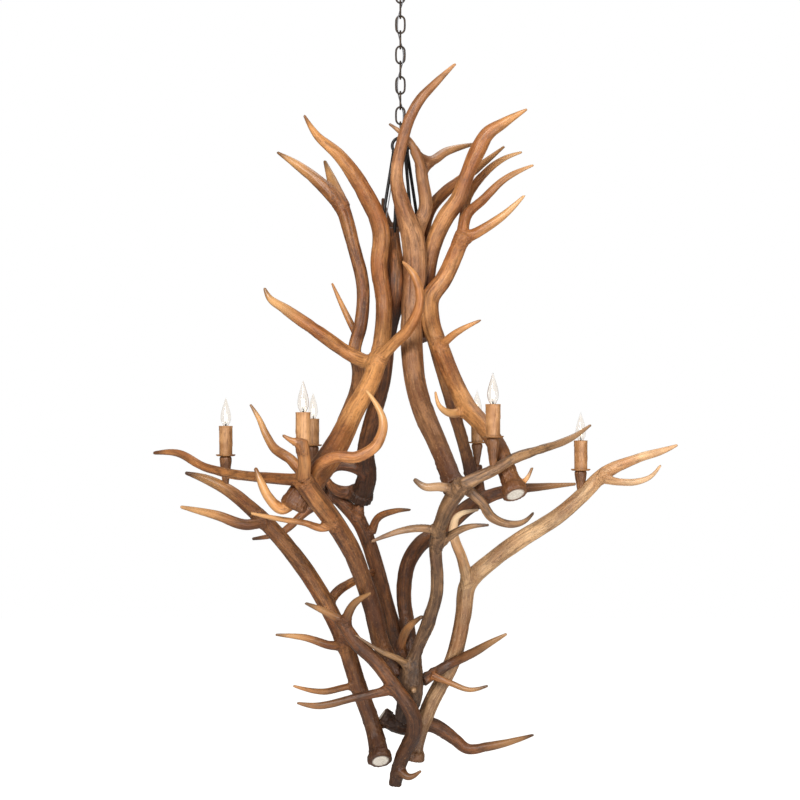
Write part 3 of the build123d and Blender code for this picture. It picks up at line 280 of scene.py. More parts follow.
# Here the sawn face is brought forward, by so many centimetres, as it is seen in the photograph.
SAWN_FACE_FORWARD = {"antler_lower_left": 5.0, "antler_upper_right_outer": 1.8}
print(len(ANTLERS), "antlers,", sum(len(runs) for runs in ANTLERS.values()), "beams and tines")

# %% [markdown]
# ## From rows to a smooth middle line
# Straight runs between rows would look like bent pipe. A cubic curve passes through every row and
# keeps its direction there, so the beam sways as bone does. A frame carried along without twist
# gives each place an angle round the beam, which the grooves and streaks follow later.

# %% A smooth line through the rows
CM = 0.01
STEP = 0.004
BLUNT_RADIUS = 0.006
LEAST_RADIUS = 0.002
# The burr's swelling: how far from the sawn end, and times what the radius grows.
BURR_ALONG, BURR_SWELL = (0, 0.004, 0.009, 0.017, 0.03), (0.9, 1.12, 1.18, 1.02, 1)


def lengths(steps):
    return np.linalg.norm(steps, axis=1)


def carried_sides(ways):
    """A side vector at each place, carried along a line without twist."""
    side = np.array([0.0, 1.0, 0.0]) if abs(ways[0, 1]) < 0.8 else np.array([1.0, 0.0, 0.0])
    sides = []
    for way in ways:
        side = side - way * side.dot(way)
        side = side / np.linalg.norm(side)
        sides.append(side)
    return np.array(sides)


def directions(places):
    ways = np.gradient(places, axis=0)
    return ways / lengths(ways)[:, None]


def middle_line(rows, burr, forward=0.0):
    """Places, directions, radii, side vectors and lengths every few millimetres of one run."""
    rows = np.array(rows) * CM
    rows[0, 1] -= forward * CM
    rows[:, 2] += HANG_Z
    gap = lengths(np.diff(rows[:, :3], axis=0))
    knots = np.concatenate([[0.0], np.cumsum(gap)])
    chord = np.diff(rows, axis=0) / gap[:, None]
    slope = np.vstack([chord[:1], chord[-1:].repeat(len(rows) - 1, axis=0)])
    if len(rows) > 2:
        before, after = gap[:-1, None], gap[1:, None]
        slope[1:-1] = (chord[:-1] * after + chord[1:] * before) / (before + after)
        slope[0] = 1.5 * chord[0] - 0.5 * slope[1]
        slope[-1] = 1.5 * chord[-1] - 0.5 * slope[-2]
    blunt = rows[-1, 3] > BLUNT_RADIUS
    length = knots[-1] - (0.0 if blunt else rows[-1, 3])
    along = np.linspace(0.0, length, max(4, int(length / STEP)))
    k = np.clip(np.searchsorted(knots, along, side="right") - 1, 0, len(gap) - 1)
    g = gap[k, None]
    t = (along - knots[k])[:, None] / g
    line = ((1 + 2 * t) * (1 - t) ** 2 * rows[k] + t * (1 - t) ** 2 * g * slope[k]
            + t ** 2 * (3 - 2 * t) * rows[k + 1] + t ** 2 * (t - 1) * g * slope[k + 1])
    places, radii = line[:, :3], np.maximum(line[:, 3], LEAST_RADIUS)
    if burr:
        radii = radii * np.interp(along, BURR_ALONG, BURR_SWELL)
    ways = directions(places)
    return {"places": places, "ways": ways, "radii": radii, "sides": carried_sides(ways),
            "along": along, "blunt": blunt, "taper": np.gradient(radii, along)}


LINES = {name: [middle_line(runs[0], name in WITH_BURR, SAWN_FACE_FORWARD.get(name, 0.0))]
         + [middle_line(run, False) for run in runs[1:]] for name, runs in ANTLERS.items()}
print(round(sum(line["along"][-1] for runs in LINES.values() for line in runs), 1), "m of antler")

# %% [markdown]
# ## A field that says how far the skin is
# Where a tine leaves the beam, the real antler has a soft web, not a crease. For any point, each
# run gives its distance to the skin, and a soft minimum of them rounds the crease.
# The same sums tell how far along the run and at which angle the point lies, for the surface marks.

# %% Distance to one run, and to the whole antler
WEB = 0.0045
# A blunt end counts as this far from any tip, and a tine as this far from the burr.
FAR = 0.5


def measure(line, points):
    """Distance to one run's skin, the outward way, and the place across and along the run."""
    places, ways, radii = line["places"], line["ways"], line["radii"]
    apart = ((points ** 2).sum(1)[:, None] - 2 * points @ places.T + (places ** 2).sum(1)[None])
    near = (np.sqrt(np.maximum(apart, 0)) - radii[None]).argmin(1)
    offset = points - places[near]
    ahead = (offset * ways[near]).sum(1)
    shift = np.clip(ahead, -0.75 * STEP, 0.75 * STEP)
    shift = np.where((near == len(places) - 1) & (ahead > 0), 0, shift)
    away = offset - ways[near] * shift[:, None]
    reach = lengths(away) + 1e-9
    distance = reach - radii[near] - line["taper"][near] * shift
    outward = away / reach[:, None]
    for end, sign in ((0, -1.0), (-1, 1.0)):
        if end == 0 or line["blunt"]:
            beyond = sign * ((points - places[end]) @ ways[end])
            flat = beyond > distance
            distance = np.where(flat, beyond, distance)
            outward = np.where(flat[:, None], sign * ways[end][None], outward)
    side = line["sides"][near]
    other = np.cross(ways[near], side)
    grain = np.stack([(away * side).sum(1), (away * other).sum(1), line["along"][near] + shift], 1)
    return distance, outward, grain


def antler_field(lines, points):
    """The soft union of an antler's runs: distance, outward way, and the marks' coordinates."""
    found = [measure(line, points) for line in lines]
    distances = np.stack([f[0] for f in found])
    least = distances.min(0)
    weights = np.exp(-(distances - least) / WEB)
    total = weights.sum(0)
    share = weights / total
    distance = least - WEB * np.log(total)
    outward = sum(share[k][:, None] * found[k][1] for k in range(len(lines)))
    outward /= lengths(outward)[:, None] + 1e-9
    grain = sum(share[k][:, None] * found[k][2] for k in range(len(lines)))
    from_tip = sum(share[k] * (FAR if line["blunt"] else line["along"][-1] - found[k][2][:, 2])
                   for k, line in enumerate(lines))
    from_burr = share[0] * found[0][2][:, 2] + (1 - share[0]) * FAR
    return distance, outward, grain, from_tip, from_burr


print("a field for each antler, webs", WEB / MM, "mm")

# %% [markdown]
# ## Lumps that can be repeated
# Grooves, pearls and knobs need a smooth random number at each place, the same on every run.
# Hashing the corners of a grid and easing between them gives that from a seed.

# %% Smooth random lumps
# Large primes scatter neighbouring corners, and the mask keeps the code positive.
PRIMES = np.array([73856093, 19349663, 83492791])
SEED_PRIME, MIXER, MASK = 7919, 1274126177, 0x7FFFFFFF


def lumps(points, seed):
    """A smooth value from -1 to 1 at each point, about one lump to a unit."""
    cell = np.floor(points).astype(np.int64)
    part = points - cell
    part = part * part * (3 - 2 * part)
    total = np.zeros(len(points))
    for corner in itertools.product((0, 1), repeat=3):
        at = (cell + np.array(corner)) * PRIMES
        code = at[:, 0] ^ at[:, 1] ^ at[:, 2] ^ (seed * SEED_PRIME)
        code = ((code ^ (code >> 13)) * MIXER) & MASK
        code = (code ^ (code >> 16)) & 0xFFFF
        weight = np.prod(np.where(corner, part, 1 - part), axis=1)
        total += weight * (code / 32767.5 - 1)
    return total


print("lumps between", lumps(np.random.default_rng(1).random((9, 3)) * 9, 1).round(1))

# %% [markdown]
# ## Materials from nodes
# A finish here is a small tree of nodes. A recipe adds nodes and fills their inputs with numbers,
# colours or other nodes' outputs, so that it reads from top to bottom.
# Colours are written as they look, and turned into the linear values that the renderer wants.

# %% Helpers for finishes
def seen(code):
    """The linear colour of a colour written as it looks, such as 'b07850'."""
    parts = [int(code[k:k + 2], 16) / 255 for k in (0, 2, 4)]
    return [c / 12.92 if c < 0.04045 else ((c + 0.055) / 1.055) ** 2.4 for c in parts] + [1.0]


class Recipe:
    """A node tree. Each method adds a node and gives back its first output."""

    def __init__(self, tree):
        self.tree = tree

    def fill(self, socket, value):
        """Puts a value into a socket, or another node's output."""
        if isinstance(value, bpy.types.NodeSocket):
            self.tree.links.new(value, socket)
        else:
            socket.default_value = value

    def add(self, kind, settings=None, **inputs):
        """Adds a node. An input is named, or _0, _1 by its place. Gives back all outputs."""
        made = self.tree.nodes.new(kind)
        for key, value in (settings or {}).items():
            setattr(made, key, value)
        for key, value in inputs.items():
            socket = int(key[1:]) if key[1:].isdigit() else key.replace("_", " ")
            self.fill(made.inputs[socket], value)
        return made.outputs

    def shade(self, kind, settings=None, **inputs):
        return self.add("ShaderNode" + kind, settings, **inputs)[0]

    def geo(self, kind, settings=None, **inputs):
        return self.add("GeometryNode" + kind, settings, **inputs)[0]

    def maths(self, operation, a, b):
        return self.shade("Math", {"operation": operation}, _0=a, _1=b)

    def times(self, a, b):
        return self.maths("MULTIPLY", a, b)

    def plus(self, a, b):
        return self.maths("ADD", a, b)

    def minus(self, a, b):
        return self.maths("SUBTRACT", a, b)

    def place(self):
        return self.add("ShaderNodeTexCoord")["Object"]

    def noise(self, vector, scale, detail=4.0, roughness=0.55):
        return self.shade("TexNoise", Vector=vector, Scale=scale, Detail=detail,
                          Roughness=roughness)

    def stretched(self, vector, amount):
        return self.shade("VectorMath", {"operation": "MULTIPLY"}, _0=vector, _1=amount)

    def ramp(self, value, low, high):
        """0 at low, 1 at high, eased."""
        return self.shade("MapRange", {"interpolation_type": "SMOOTHSTEP"}, Value=value,
                          From_Min=low, From_Max=high)

    def between(self, value, low, high):
        """low where the value is 0, high where it is 1."""
        return self.shade("MapRange", Value=value, To_Min=low, To_Max=high)

    def blended(self, share, a, b):
        """Colour a where share is 0 and b where it is 1."""
        made = self.tree.nodes.new("ShaderNodeMix")
        made.data_type = "RGBA"
        for socket, value in ((0, share), (6, a), (7, b)):
            self.fill(made.inputs[socket], value)
        return made.outputs[2]


class Finish(Recipe):
    """A new material with its recipe and its shader."""

    def __init__(self, name):
        self.made = bpy.data.materials.new(name)
        self.made.use_nodes = True
        super().__init__(self.made.node_tree)
        self.shader = self.tree.nodes["Principled BSDF"]

    def give(self, **inputs):
        """Fills the shader's inputs with values or outputs."""
        for key, value in inputs.items():
            self.fill(self.shader.inputs[key.replace("_", " ")], value)

    def bump(self, height, distance, strength=1.0):
        self.give(Normal=self.shade("Bump", Height=height, Distance=distance, Strength=strength))


print("a pale brown is", [round(c, 2) for c in seen("c8945e")], "to the renderer")

# %% [markdown]
# ## The antlers' finish
# Antler is stained in its grooves and rubbed pale on its tips and ridges. The mesh will carry three
# attributes: the grain place, the distances from tip and burr with the groove's depth, and the sawn
# core. The finish reads them, so the streaks run lengthwise round every bend.

# %% Antler finishes
def antler_finish(name, light, middle, dark, tip, stain=1.0, dark_reach=0.5):
    r = Finish(name)
    light, middle, dark, tip = seen(light), seen(middle), seen(dark), seen(tip)
    grain, wear, core = (r.add("ShaderNodeAttribute", {"attribute_name": key})[output] for
                         key, output in (("grain", "Vector"), ("wear", "Vector"), ("core", "Fac")))
    from_tip, from_burr, groove = r.add("ShaderNodeSeparateXYZ", _0=wear)
    place = r.place()
    broad, patch = r.noise(place, 7.0, 3.0), r.noise(place, 4.2, 2.0)
    # Each of these follows the grain: how many marks to a metre across and along it.
    mottle = r.noise(r.stretched(grain, (60, 60, 26)), 1.0, 4.0, 0.65)
    bands = r.noise(r.stretched(grain, (105, 105, 6)), 1.0, 3.0, 0.5)
    streak = r.noise(r.stretched(grain, (230, 230, 16)), 1.0, 6.0, 0.62)
    fine = r.noise(r.stretched(grain, (700, 700, 70)), 1.0, 5.0, 0.65)
    fleck = r.noise(r.stretched(grain, (290, 290, 130)), 1.0, 3.0, 0.7)
    # Distances in metres: stain starts away from the tip, and hands rub some tips pale.
    stained = r.ramp(from_tip, 0.05, 0.28)
    handled = r.shade("MapRange", Value=r.noise(place, 3.5, 0.0), From_Min=0.42, From_Max=0.58,
                      To_Min=0.15, To_Max=0.8)
    rubbed = r.times(r.ramp(from_tip, 0.17, 0.0), handled)
    dark_end = r.times(r.ramp(from_tip, 0.04, 0.004), r.ramp(r.noise(place, 3.0, 0.0), 0.44, 0.54))
    colour = r.blended(r.ramp(broad, 0.36, 0.64), middle, light)
    # Layers from the lowest up: where it lies, how strong it is, and its colour.
    for share, amount, tone in (
            (r.ramp(bands, 0.46, 0.34), 0.2, tip),
            (r.ramp(patch, 0.46, 0.62), 0.45 * stain, dark),
            (r.ramp(bands, 0.52, 0.66), 0.45 * stain, dark),
            (r.ramp(streak, 0.48, 0.66), 0.6 * stain, dark),
            (r.ramp(mottle, 0.48, 0.66), 0.6 * stain, dark),
            (r.times(groove, stained), 0.85 * stain, dark),
            (r.ramp(from_burr, dark_reach, 0.04), 0.55, dark),
            (r.ramp(from_burr, 0.15, 0.015), 0.6, dark),
            (rubbed, 1.0, tip),
            (r.times(r.ramp(fleck, 0.55, 0.68), stained), 0.5, dark),
            (r.times(r.ramp(fleck, 0.42, 0.3), stained), 0.3, tip),
            (dark_end, 0.7, dark)):
        colour = r.blended(r.times(share, amount), colour, tone)
    pores = r.noise(place, 420.0, 3.0, 0.7)
    bone = r.blended(r.ramp(pores, 0.5, 0.7), seen("e4dccf"), seen("a8957c"))
    gloss = r.minus(r.between(streak, 0.28, 0.58), r.times(rubbed, 0.1))
    r.give(Base_Color=r.blended(core, colour, bone), Roughness=gloss, Specular_IOR_Level=0.4)
    relief = r.minus(r.times(fine, 0.12), r.plus(r.times(streak, 0.8), r.times(fleck, 0.35)))
    relief = r.minus(r.times(relief, stained), r.times(bands, 0.5))
    r.bump(r.plus(relief, r.times(r.times(pores, core), 0.4)), 0.0028)
    return r.made


FINISHES = {
    "honey": antler_finish("honey_antler", "c98c52", "9d5f30", "4a2611", "d3a36c", 0.7, 0.35),
    "russet": antler_finish("russet_antler", "c68f60", "94603a", "3f200f", "cf9f6d", 0.7, 1.05),
    "pale": antler_finish("pale_antler", "e2b684", "bd8656", "4c2a14", "efd3aa", 0.65, 0.75),
    "brown": antler_finish("brown_antler", "b07541", "824c26", "341a0c", "c69661", 0.9),
    "umber": antler_finish("umber_antler", "955c31", "673a1d", "241208", "b08455", 1.0),
    "grey": antler_finish("grey_antler", "98724c", "6b4a33", "281914", "b6906a", 1.0),
}
# Which finish each antler wears. The darkest finishes, umber and brown, go to the back and bottom
# antlers and the lighter ones to the front and top: partly the antlers' own tones, partly painted
# shade where the front antlers keep the lamps' light off the others.
TONES = {
    "antler_upper_front_left": "honey", "antler_upper_front": "russet",
    "antler_upper_right_outer": "honey", "antler_upper_right": "honey",
    "antler_upper_back_left": "brown", "antler_upper_back": "umber",
    "antler_upper_back_right": "brown", "antler_lower_front_right": "grey",
    "antler_lower_back_left": "umber", "antler_lower_back_right": "umber",
    "antler_bottom_cross": "umber", "antler_bottom_right": "umber",
    "antler_bottom_front": "umber", "antler_lower_right": "pale",
}
print(len(FINISHES), "antler finishes")

# %% [markdown]
# ## Growing the antlers
# Tubes along the runs overlap where a tine starts. A voxel remesh joins them into one skin with
# even faces, the field pulls that skin onto the true surface with its webs, and the lumps press
# in grooves, raise pearls near the burr and leave the tips polished.

# %% One antler's mesh
FINE = 0.0031
ROOM = np.array(cad_box[0]) + 0.2 * MM, np.array(cad_box[1]) - 0.2 * MM
SHELL_SIDES = 14
EVENINGS = 3
# How far from a tip the marks are worn, where the burr's rim is and how wide, and how far its
# pearls reach. The sawn face starts this deep before the beam's end, over so wide an edge.
TIP_POLISH = 0.14
BURR_RIM, RIM_WIDTH, BURR_REACH = 0.009, 0.006, 0.1
FACE_DEPTH, FACE_EDGE, FACE_REACH = 0.0012, 0.001, 0.02
GREY_ROUGHNESS = 1.7
# Heights of the marks: broad flutes, sharp cuts, pearls on the beam and near the burr, the rim.
FLUTE, CUT, PEARL, BURR_PEARL, RIM_LUMP = 0.0010, 0.0013, 0.0003, 0.0040, 0.0028
# How many of each mark stand on a metre, across, across and along the grain.
FLUTES, CUTS, PEARLS, RIM_LUMPS = (80, 80, 8), (150, 150, 12), (150, 150, 120), (190, 190, 60)


def mesh_object(name, points, faces, finish=None, smooth=True):
    """A named object at the origin, with its place in its mesh."""
    mesh = bpy.data.meshes.new(name)
    mesh.from_pydata([tuple(p) for p in points], [], [tuple(f) for f in faces])
    mesh.update()
    if smooth:
        mesh.polygons.foreach_set("use_smooth", [True] * len(mesh.polygons))
    made = bpy.data.objects.new(name, mesh)
    bpy.context.scene.collection.objects.link(made)
    if finish:
        mesh.materials.append(finish)
    return made


def tube_faces(rings, sides, first=0):
    """Quads between rings of corners and a flat face at both ends."""
    faces = []
    for k in range(rings - 1):
        for j in range(sides):
            a, b = first + k * sides + j, first + k * sides + (j + 1) % sides
            faces.append((a, b, b + sides, a + sides))
    faces.append(tuple(range(first + sides - 1, first - 1, -1)))
    faces.append(tuple(range(first + (rings - 1) * sides, first + rings * sides)))
    return faces


def rough_shell(lines):
    """Overlapping closed tubes along an antler's runs."""
    points, faces = [], []
    turn = 2 * np.pi * np.arange(SHELL_SIDES) / SHELL_SIDES
    for line in lines:
        other = np.cross(line["ways"], line["sides"])
        rings = (line["places"][:, None] + line["radii"][:, None, None] * (
            line["sides"][:, None] * np.cos(turn)[None, :, None]
            + other[:, None] * np.sin(turn)[None, :, None]))
        if not line["blunt"]:
            cap = line["places"][-1] + line["ways"][-1] * line["radii"][-1] * 0.8
            small = cap + (rings[-1] - line["places"][-1]) * 0.5
            rings = np.concatenate([rings, small[None]])
        faces += tube_faces(len(rings), SHELL_SIDES, sum(len(p) for p in points))
        points.append(rings.reshape(-1, 3))
    return np.concatenate(points), faces


def evaluated_mesh(thing):
    """What the modifiers make of an object, as a plain mesh."""
    graph = bpy.context.evaluated_depsgraph_get()
    graph.update()
    return bpy.data.meshes.new_from_object(thing.evaluated_get(graph))


def evened(places, edges):
    """Moves each corner halfway to the middle of its neighbours, so that faces get even."""
    ends = np.concatenate([edges, edges[:, ::-1]])
    count = np.bincount(ends[:, 0], minlength=len(places))
    middle = np.stack([np.bincount(ends[:, 0], places[ends[:, 1], axis], len(places))
                       for axis in range(3)], 1) / np.maximum(count, 1)[:, None]
    return 0.5 * places + 0.5 * middle


def grow_antler(name, seed):
    """One antler's skin, with its marks, its attributes and its finish."""
    lines = LINES[name]
    made = mesh_object(name + "_skin", *rough_shell(lines))
    remesh = made.modifiers.new("skin", "REMESH")
    remesh.mode = "VOXEL"
    remesh.voxel_size = FINE
    skin, old = evaluated_mesh(made), made.data
    made.modifiers.clear()
    made.data = skin
    bpy.data.meshes.remove(old)
    places = np.zeros(len(skin.vertices) * 3, np.float32)
    skin.vertices.foreach_get("co", places)
    places = places.reshape(-1, 3).astype(float)
    edges = np.zeros(len(skin.edges) * 2, np.int32)
    skin.edges.foreach_get("vertices", edges)
    for _ in range(EVENINGS):
        places = evened(places, edges.reshape(-1, 2))
        distance, outward, *_ = antler_field(lines, places)
        places -= outward * distance[:, None]
    distance, outward, grain, from_tip, from_burr = antler_field(lines, places)
    start, way = lines[0]["places"][0], lines[0]["ways"][0]
    behind = -(places - start) @ way
    close = lengths(places - start) < lines[0]["radii"][0] * 1.5
    flat = (np.clip((behind + FACE_DEPTH) / FACE_EDGE, 0, 1) * close * (from_burr < FACE_REACH)
            * (name in WITH_BURR))
    worn = np.clip(from_tip / TIP_POLISH, 0, 1) ** 1.2 * (1 - flat)
    rough = GREY_ROUGHNESS if TONES.get(name) == "grey" else 1.0
    flutes = lumps(grain * FLUTES, seed)
    cuts = np.clip(1 - np.abs(lumps(grain * CUTS, seed + 1)) * 3, 0, 1)
    pearls = np.clip(lumps(grain * PEARLS, seed + 2), 0, 1) ** 1.5
    base = np.exp(-from_burr / BURR_REACH)
    height = worn * (FLUTE * flutes - CUT * cuts * rough
                     + pearls * (PEARL + BURR_PEARL * base) * rough)
    if name in WITH_BURR:
        rim = np.exp(-((from_burr - BURR_RIM) / RIM_WIDTH) ** 2) * (1 - flat)
        height += rim * RIM_LUMP * lumps(grain * RIM_LUMPS, seed + 3)
    places = np.clip(places + outward * height[:, None], ROOM[0], ROOM[1])
    skin.vertices.foreach_set("co", places.astype(np.float32).ravel())
    # The sawn face is pale bone inside its rim, and stain gathers in the cuts.
    core = flat * np.clip((0.9 - lengths(grain[:, :2]) / lines[0]["radii"][0]) / 0.12, 0, 1)
    groove = np.clip(0.55 * cuts - 0.25 * flutes - 0.3 * pearls, 0, 1)
    wear = np.stack([from_tip, from_burr, groove], 1)
    for key, values in (("grain", grain), ("wear", wear)):
        skin.attributes.new(key, "FLOAT_VECTOR", "POINT").data.foreach_set(
            "vector", values.astype(np.float32).ravel())
    skin.attributes.new("core", "FLOAT", "POINT").data.foreach_set("value", core.astype(np.float32))
    skin.polygons.foreach_set("use_smooth", [True] * len(skin.polygons))
    skin.materials.clear()
    skin.materials.append(FINISHES[TONES.get(name, "brown")])
    skin.update()
    return made


# %% All sixteen antlers
antlers = {}
for seed, name in enumerate(ANTLERS):
    antlers[name] = grow_antler(name, seed * 10)
    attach(antlers[name], "antler_cluster")
    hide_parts(name)
print(sum(len(a.data.polygons) for a in antlers.values()) * 2, "triangles of antler")

# %% [markdown]
# ## Turned pieces
# The canopy, collar, cups, drip rings, sleeves, sockets and bulbs are all round. A profile of
# radius and height is spun about an upright axis, and a small ripple keeps it from being perfect.

# %% A spun profile
def spun(profile, steps, centre=(0, 0, 0), ripple=None):
    """Points and faces of a profile turned about a vertical line; radius 0 closes a pole."""
    points, faces, rings = [], [], []
    for radius, height in profile:
        if radius == 0:
            rings.append([len(points)])
            points.append((centre[0], centre[1], centre[2] + height))
            continue
        rings.append(list(range(len(points), len(points) + steps)))
        for j in range(steps):
            angle = 2 * math.pi * j / steps
            out = radius + (ripple(angle, height, radius) if ripple else 0)
            points.append((centre[0] + out * math.cos(angle), centre[1] + out * math.sin(angle),
                           centre[2] + height))
    for low, high in zip(rings, rings[1:]):
        for j in range(steps):
            n = (j + 1) % steps
            if len(low) == len(high) == 1:
                continue
            if len(low) == 1:
                faces.append((low[0], high[n], high[j]))
            elif len(high) == 1:
                faces.append((low[j], low[n], high[0]))
            else:
                faces.append((low[j], low[n], high[n], high[j]))
    return points, faces


def joined(name, shapes, finish, body, replaced):
    """One piece from several shapes, riding on one body and standing for its CAD node."""
    points, faces = [], []
    for some_points, some_faces in shapes:
        first = len(points)
        points += [tuple(p) for p in some_points]
        faces += [tuple(v + first for v in f) for f in some_faces]
    made = mesh_object(name, points, faces, finish)
    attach(made, body)
    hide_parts(*replaced)
    return made


print("a spun profile takes", len(spun([(0, 0), (1, 0), (1, 1), (0, 1)], 12)[1]), "faces")

# %% [markdown]
# ## Metal, wax and glass
# The chain is dark bronze paint worn a little in patches, the ring and rods are black steel, and
# the sleeves are tan, streaked like old wax. Each is a solid tone broken by noise, coarse and fine.

# %% Metal, sleeve, cup and glass finishes
def metal_finish(name, base, worn, metallic, rough):
    r = Finish(name)
    place = r.place()
    cloud, scuff = r.noise(place, 90.0, 5.0, 0.6), r.noise(place, 900.0, 3.0, 0.7)
    r.give(Base_Color=r.blended(r.ramp(cloud, 0.45, 0.75), seen(base), seen(worn)),
           Metallic=metallic, Roughness=r.between(cloud, rough, rough + 0.2))
    r.bump(scuff, 0.0002, 0.5)
    return r.made


def streaked_finish(name, light, middle, dark, scale, rough):
    """Lengthwise streaks round an upright piece, as on a wax sleeve or a cut of antler."""
    r = Finish(name)
    place = r.place()
    cloud, fleck = r.noise(place, 28.0, 3.0), r.noise(place, 620.0, 3.0, 0.7)
    streak = r.noise(r.stretched(place, (scale, scale, scale * 0.12)), 1.0, 5.0, 0.6)
    colour = r.blended(r.ramp(cloud, 0.35, 0.65), seen(middle), seen(light))
    colour = r.blended(r.times(r.ramp(streak, 0.5, 0.7), 0.7), colour, seen(dark))
    colour = r.blended(r.times(r.ramp(fleck, 0.62, 0.74), 0.45), colour, seen(dark))
    r.give(Base_Color=colour, Roughness=r.between(streak, rough, rough + 0.15))
    r.bump(r.plus(streak, r.times(fleck, 0.2)), 0.0008)
    return r.made


def glow_finish(name, colour, hot, strength):
    r = Finish(name)
    shade = r.blended(r.ramp(r.noise(r.place(), 160.0, 2.0), 0.2, 0.8), seen(colour), seen(hot))
    r.give(Base_Color=shade, Emission_Color=shade, Emission_Strength=strength)
    return r.made


def glass_finish(name):
    r = Finish(name)
    smear = r.noise(r.place(), 45.0, 3.0)
    r.give(Base_Color=r.blended(smear, seen("ffffff"), seen("f6efe6")), IOR=1.45,
           Roughness=r.between(smear, 0.0, 0.05), Transmission_Weight=1.0)
    return r.made


BRONZE = metal_finish("dark_bronze", "2b211a", "54412f", 0.4, 0.42)
BLACK = metal_finish("black_steel", "1d1c1c", "363433", 0.5, 0.42)
STEEL = metal_finish("zinc_steel", "8f9092", "b4b5b6", 0.9, 0.32)
BRASS = metal_finish("lamp_brass", "b08d4a", "d6b877", 0.95, 0.28)
LEAD = metal_finish("grey_lead", "6c6c6f", "85858a", 0.0, 0.5)
PHENOLIC = metal_finish("dark_socket", "1c1714", "2c2520", 0.0, 0.5)
WAX = streaked_finish("tan_wax", "c08f60", "9d6d42", "5a341b", 330, 0.4)
CUP = streaked_finish("cup_antler", "80542f", "5f3b20", "2c190d", 420, 0.42)
RIM = streaked_finish("drip_ring_antler", "a87846", "7d5029", "462a16", 260, 0.4)
GLASS = glass_finish("clear_bulb_glass")
FILAMENT = glow_finish("hot_filament", "ffd9a8", "fff4e0", 7.0)
print("metals, wax, cups, rims and glass are ready")

# %% [markdown]
# ## Ceiling fitting
# A spun dish hides the ceiling box. It is drawn from one sheet, so its wall is thin and its rim
# is rolled. Below it a knurled collar carries a welded loop. The photograph cuts this end off, so
# it is a plain dish of its usual kind.

# %% Canopy, collar and loop
CANOPY = [(0.0048, -0.0444), (0.0150, -0.0444), (0.0205, -0.0412), (0.0330, -0.0350),
          (0.0520, -0.0240), (0.0608, -0.0150), (0.0641, -0.0070), (0.0644, 0.0),
          (0.0657, 0.0), (0.0659, -0.0010), (0.0655, -0.0072), (0.0622, -0.0158),
          (0.0528, -0.0256), (0.0335, -0.0367), (0.0208, -0.0430), (0.0150, -0.0459),
          (0.0048, -0.0459), (0.0048, -0.0444)]
joined("canopy_dish", [spun(CANOPY, 96)], BRONZE, "ceiling_fitting", ["canopy"])
GRIP_LOW, GRIP_TOP, RIB_DEPTH, RIBS = -0.0532, -0.0478, 0.0005, 24


def knurl(angle, height, radius):
    """Coarse ribs round the collar's grip."""
    grip = GRIP_LOW < height < GRIP_TOP
    return -RIB_DEPTH * (math.cos(RIBS * angle) > 0) if grip else 0.0


COLLAR = [(0.0033, -0.0549), (0.0090, -0.0549), (0.0112, -0.0545), (0.0126, -0.0532),
          (0.0129, -0.0530), (0.0129, -0.0480), (0.0126, -0.0477), (0.0117, -0.0461),
          (0.0050, -0.0460), (0.0050, -0.0510), (0.0033, -0.0510), (0.0033, -0.0549)]


def bent_tube(line, radius, sides):
    """Points and faces of a round bar along a list of places."""
    line = np.array(line, float)
    ways = directions(line)
    side = carried_sides(ways)
    turn = 2 * np.pi * np.arange(sides)[:, None] / sides
    rings = [place + radius * (np.cos(turn) * one + np.sin(turn) * other)
             for place, one, other in zip(line, side, np.cross(ways, side))]
    return np.concatenate(rings), tube_faces(len(rings), sides)


LOOP_R = LINK_WIDTH / 2 - LINK_WIRE_R
LOOP_WIRE_R, LOOP_WELD_Z, LOOP_STEPS = 0.0031, -0.0545, 24
loop_line = [(-LOOP_R * 0.78, 0, LOOP_WELD_Z)]
for k in range(LOOP_STEPS + 1):
    angle = math.radians(180 + 180 * k / LOOP_STEPS)
    loop_line.append((LOOP_R * math.cos(angle), 0, LOOP_Z + LOOP_R + LOOP_R * math.sin(angle)))
loop_line.append((LOOP_R * 0.78, 0, LOOP_WELD_Z))
joined("collar_and_loop", [spun(COLLAR, 96, ripple=knurl), bent_tube(loop_line, LOOP_WIRE_R, 20)],
       BRONZE, "ceiling_fitting", ["collar_loop"])
print("canopy", round(2 * max(radius for radius, _ in CANOPY) / MM), "mm across")

# %% [markdown]
# ## Chain
# Eleven equal links, each turned a quarter turn: a rule, so Geometry Nodes make them. One link is
# wire swept round a rounded rectangle that is drawn in toward its ends, with a small swelling at
# its weld, and it is placed on a line of points. The tree's inputs are the sizes of the chain.

# %% A Geometry Nodes tree for the chain
CHAIN_SIZES = {"Length": LINK_LENGTH, "Width": LINK_WIDTH, "Wire radius": LINK_WIRE_R,
               "Pitch": LINK_PITCH, "Count": LINK_COUNT, "Weld swell": 0.12, "Slimming": 0.12}
WELD_REACH = 0.0045


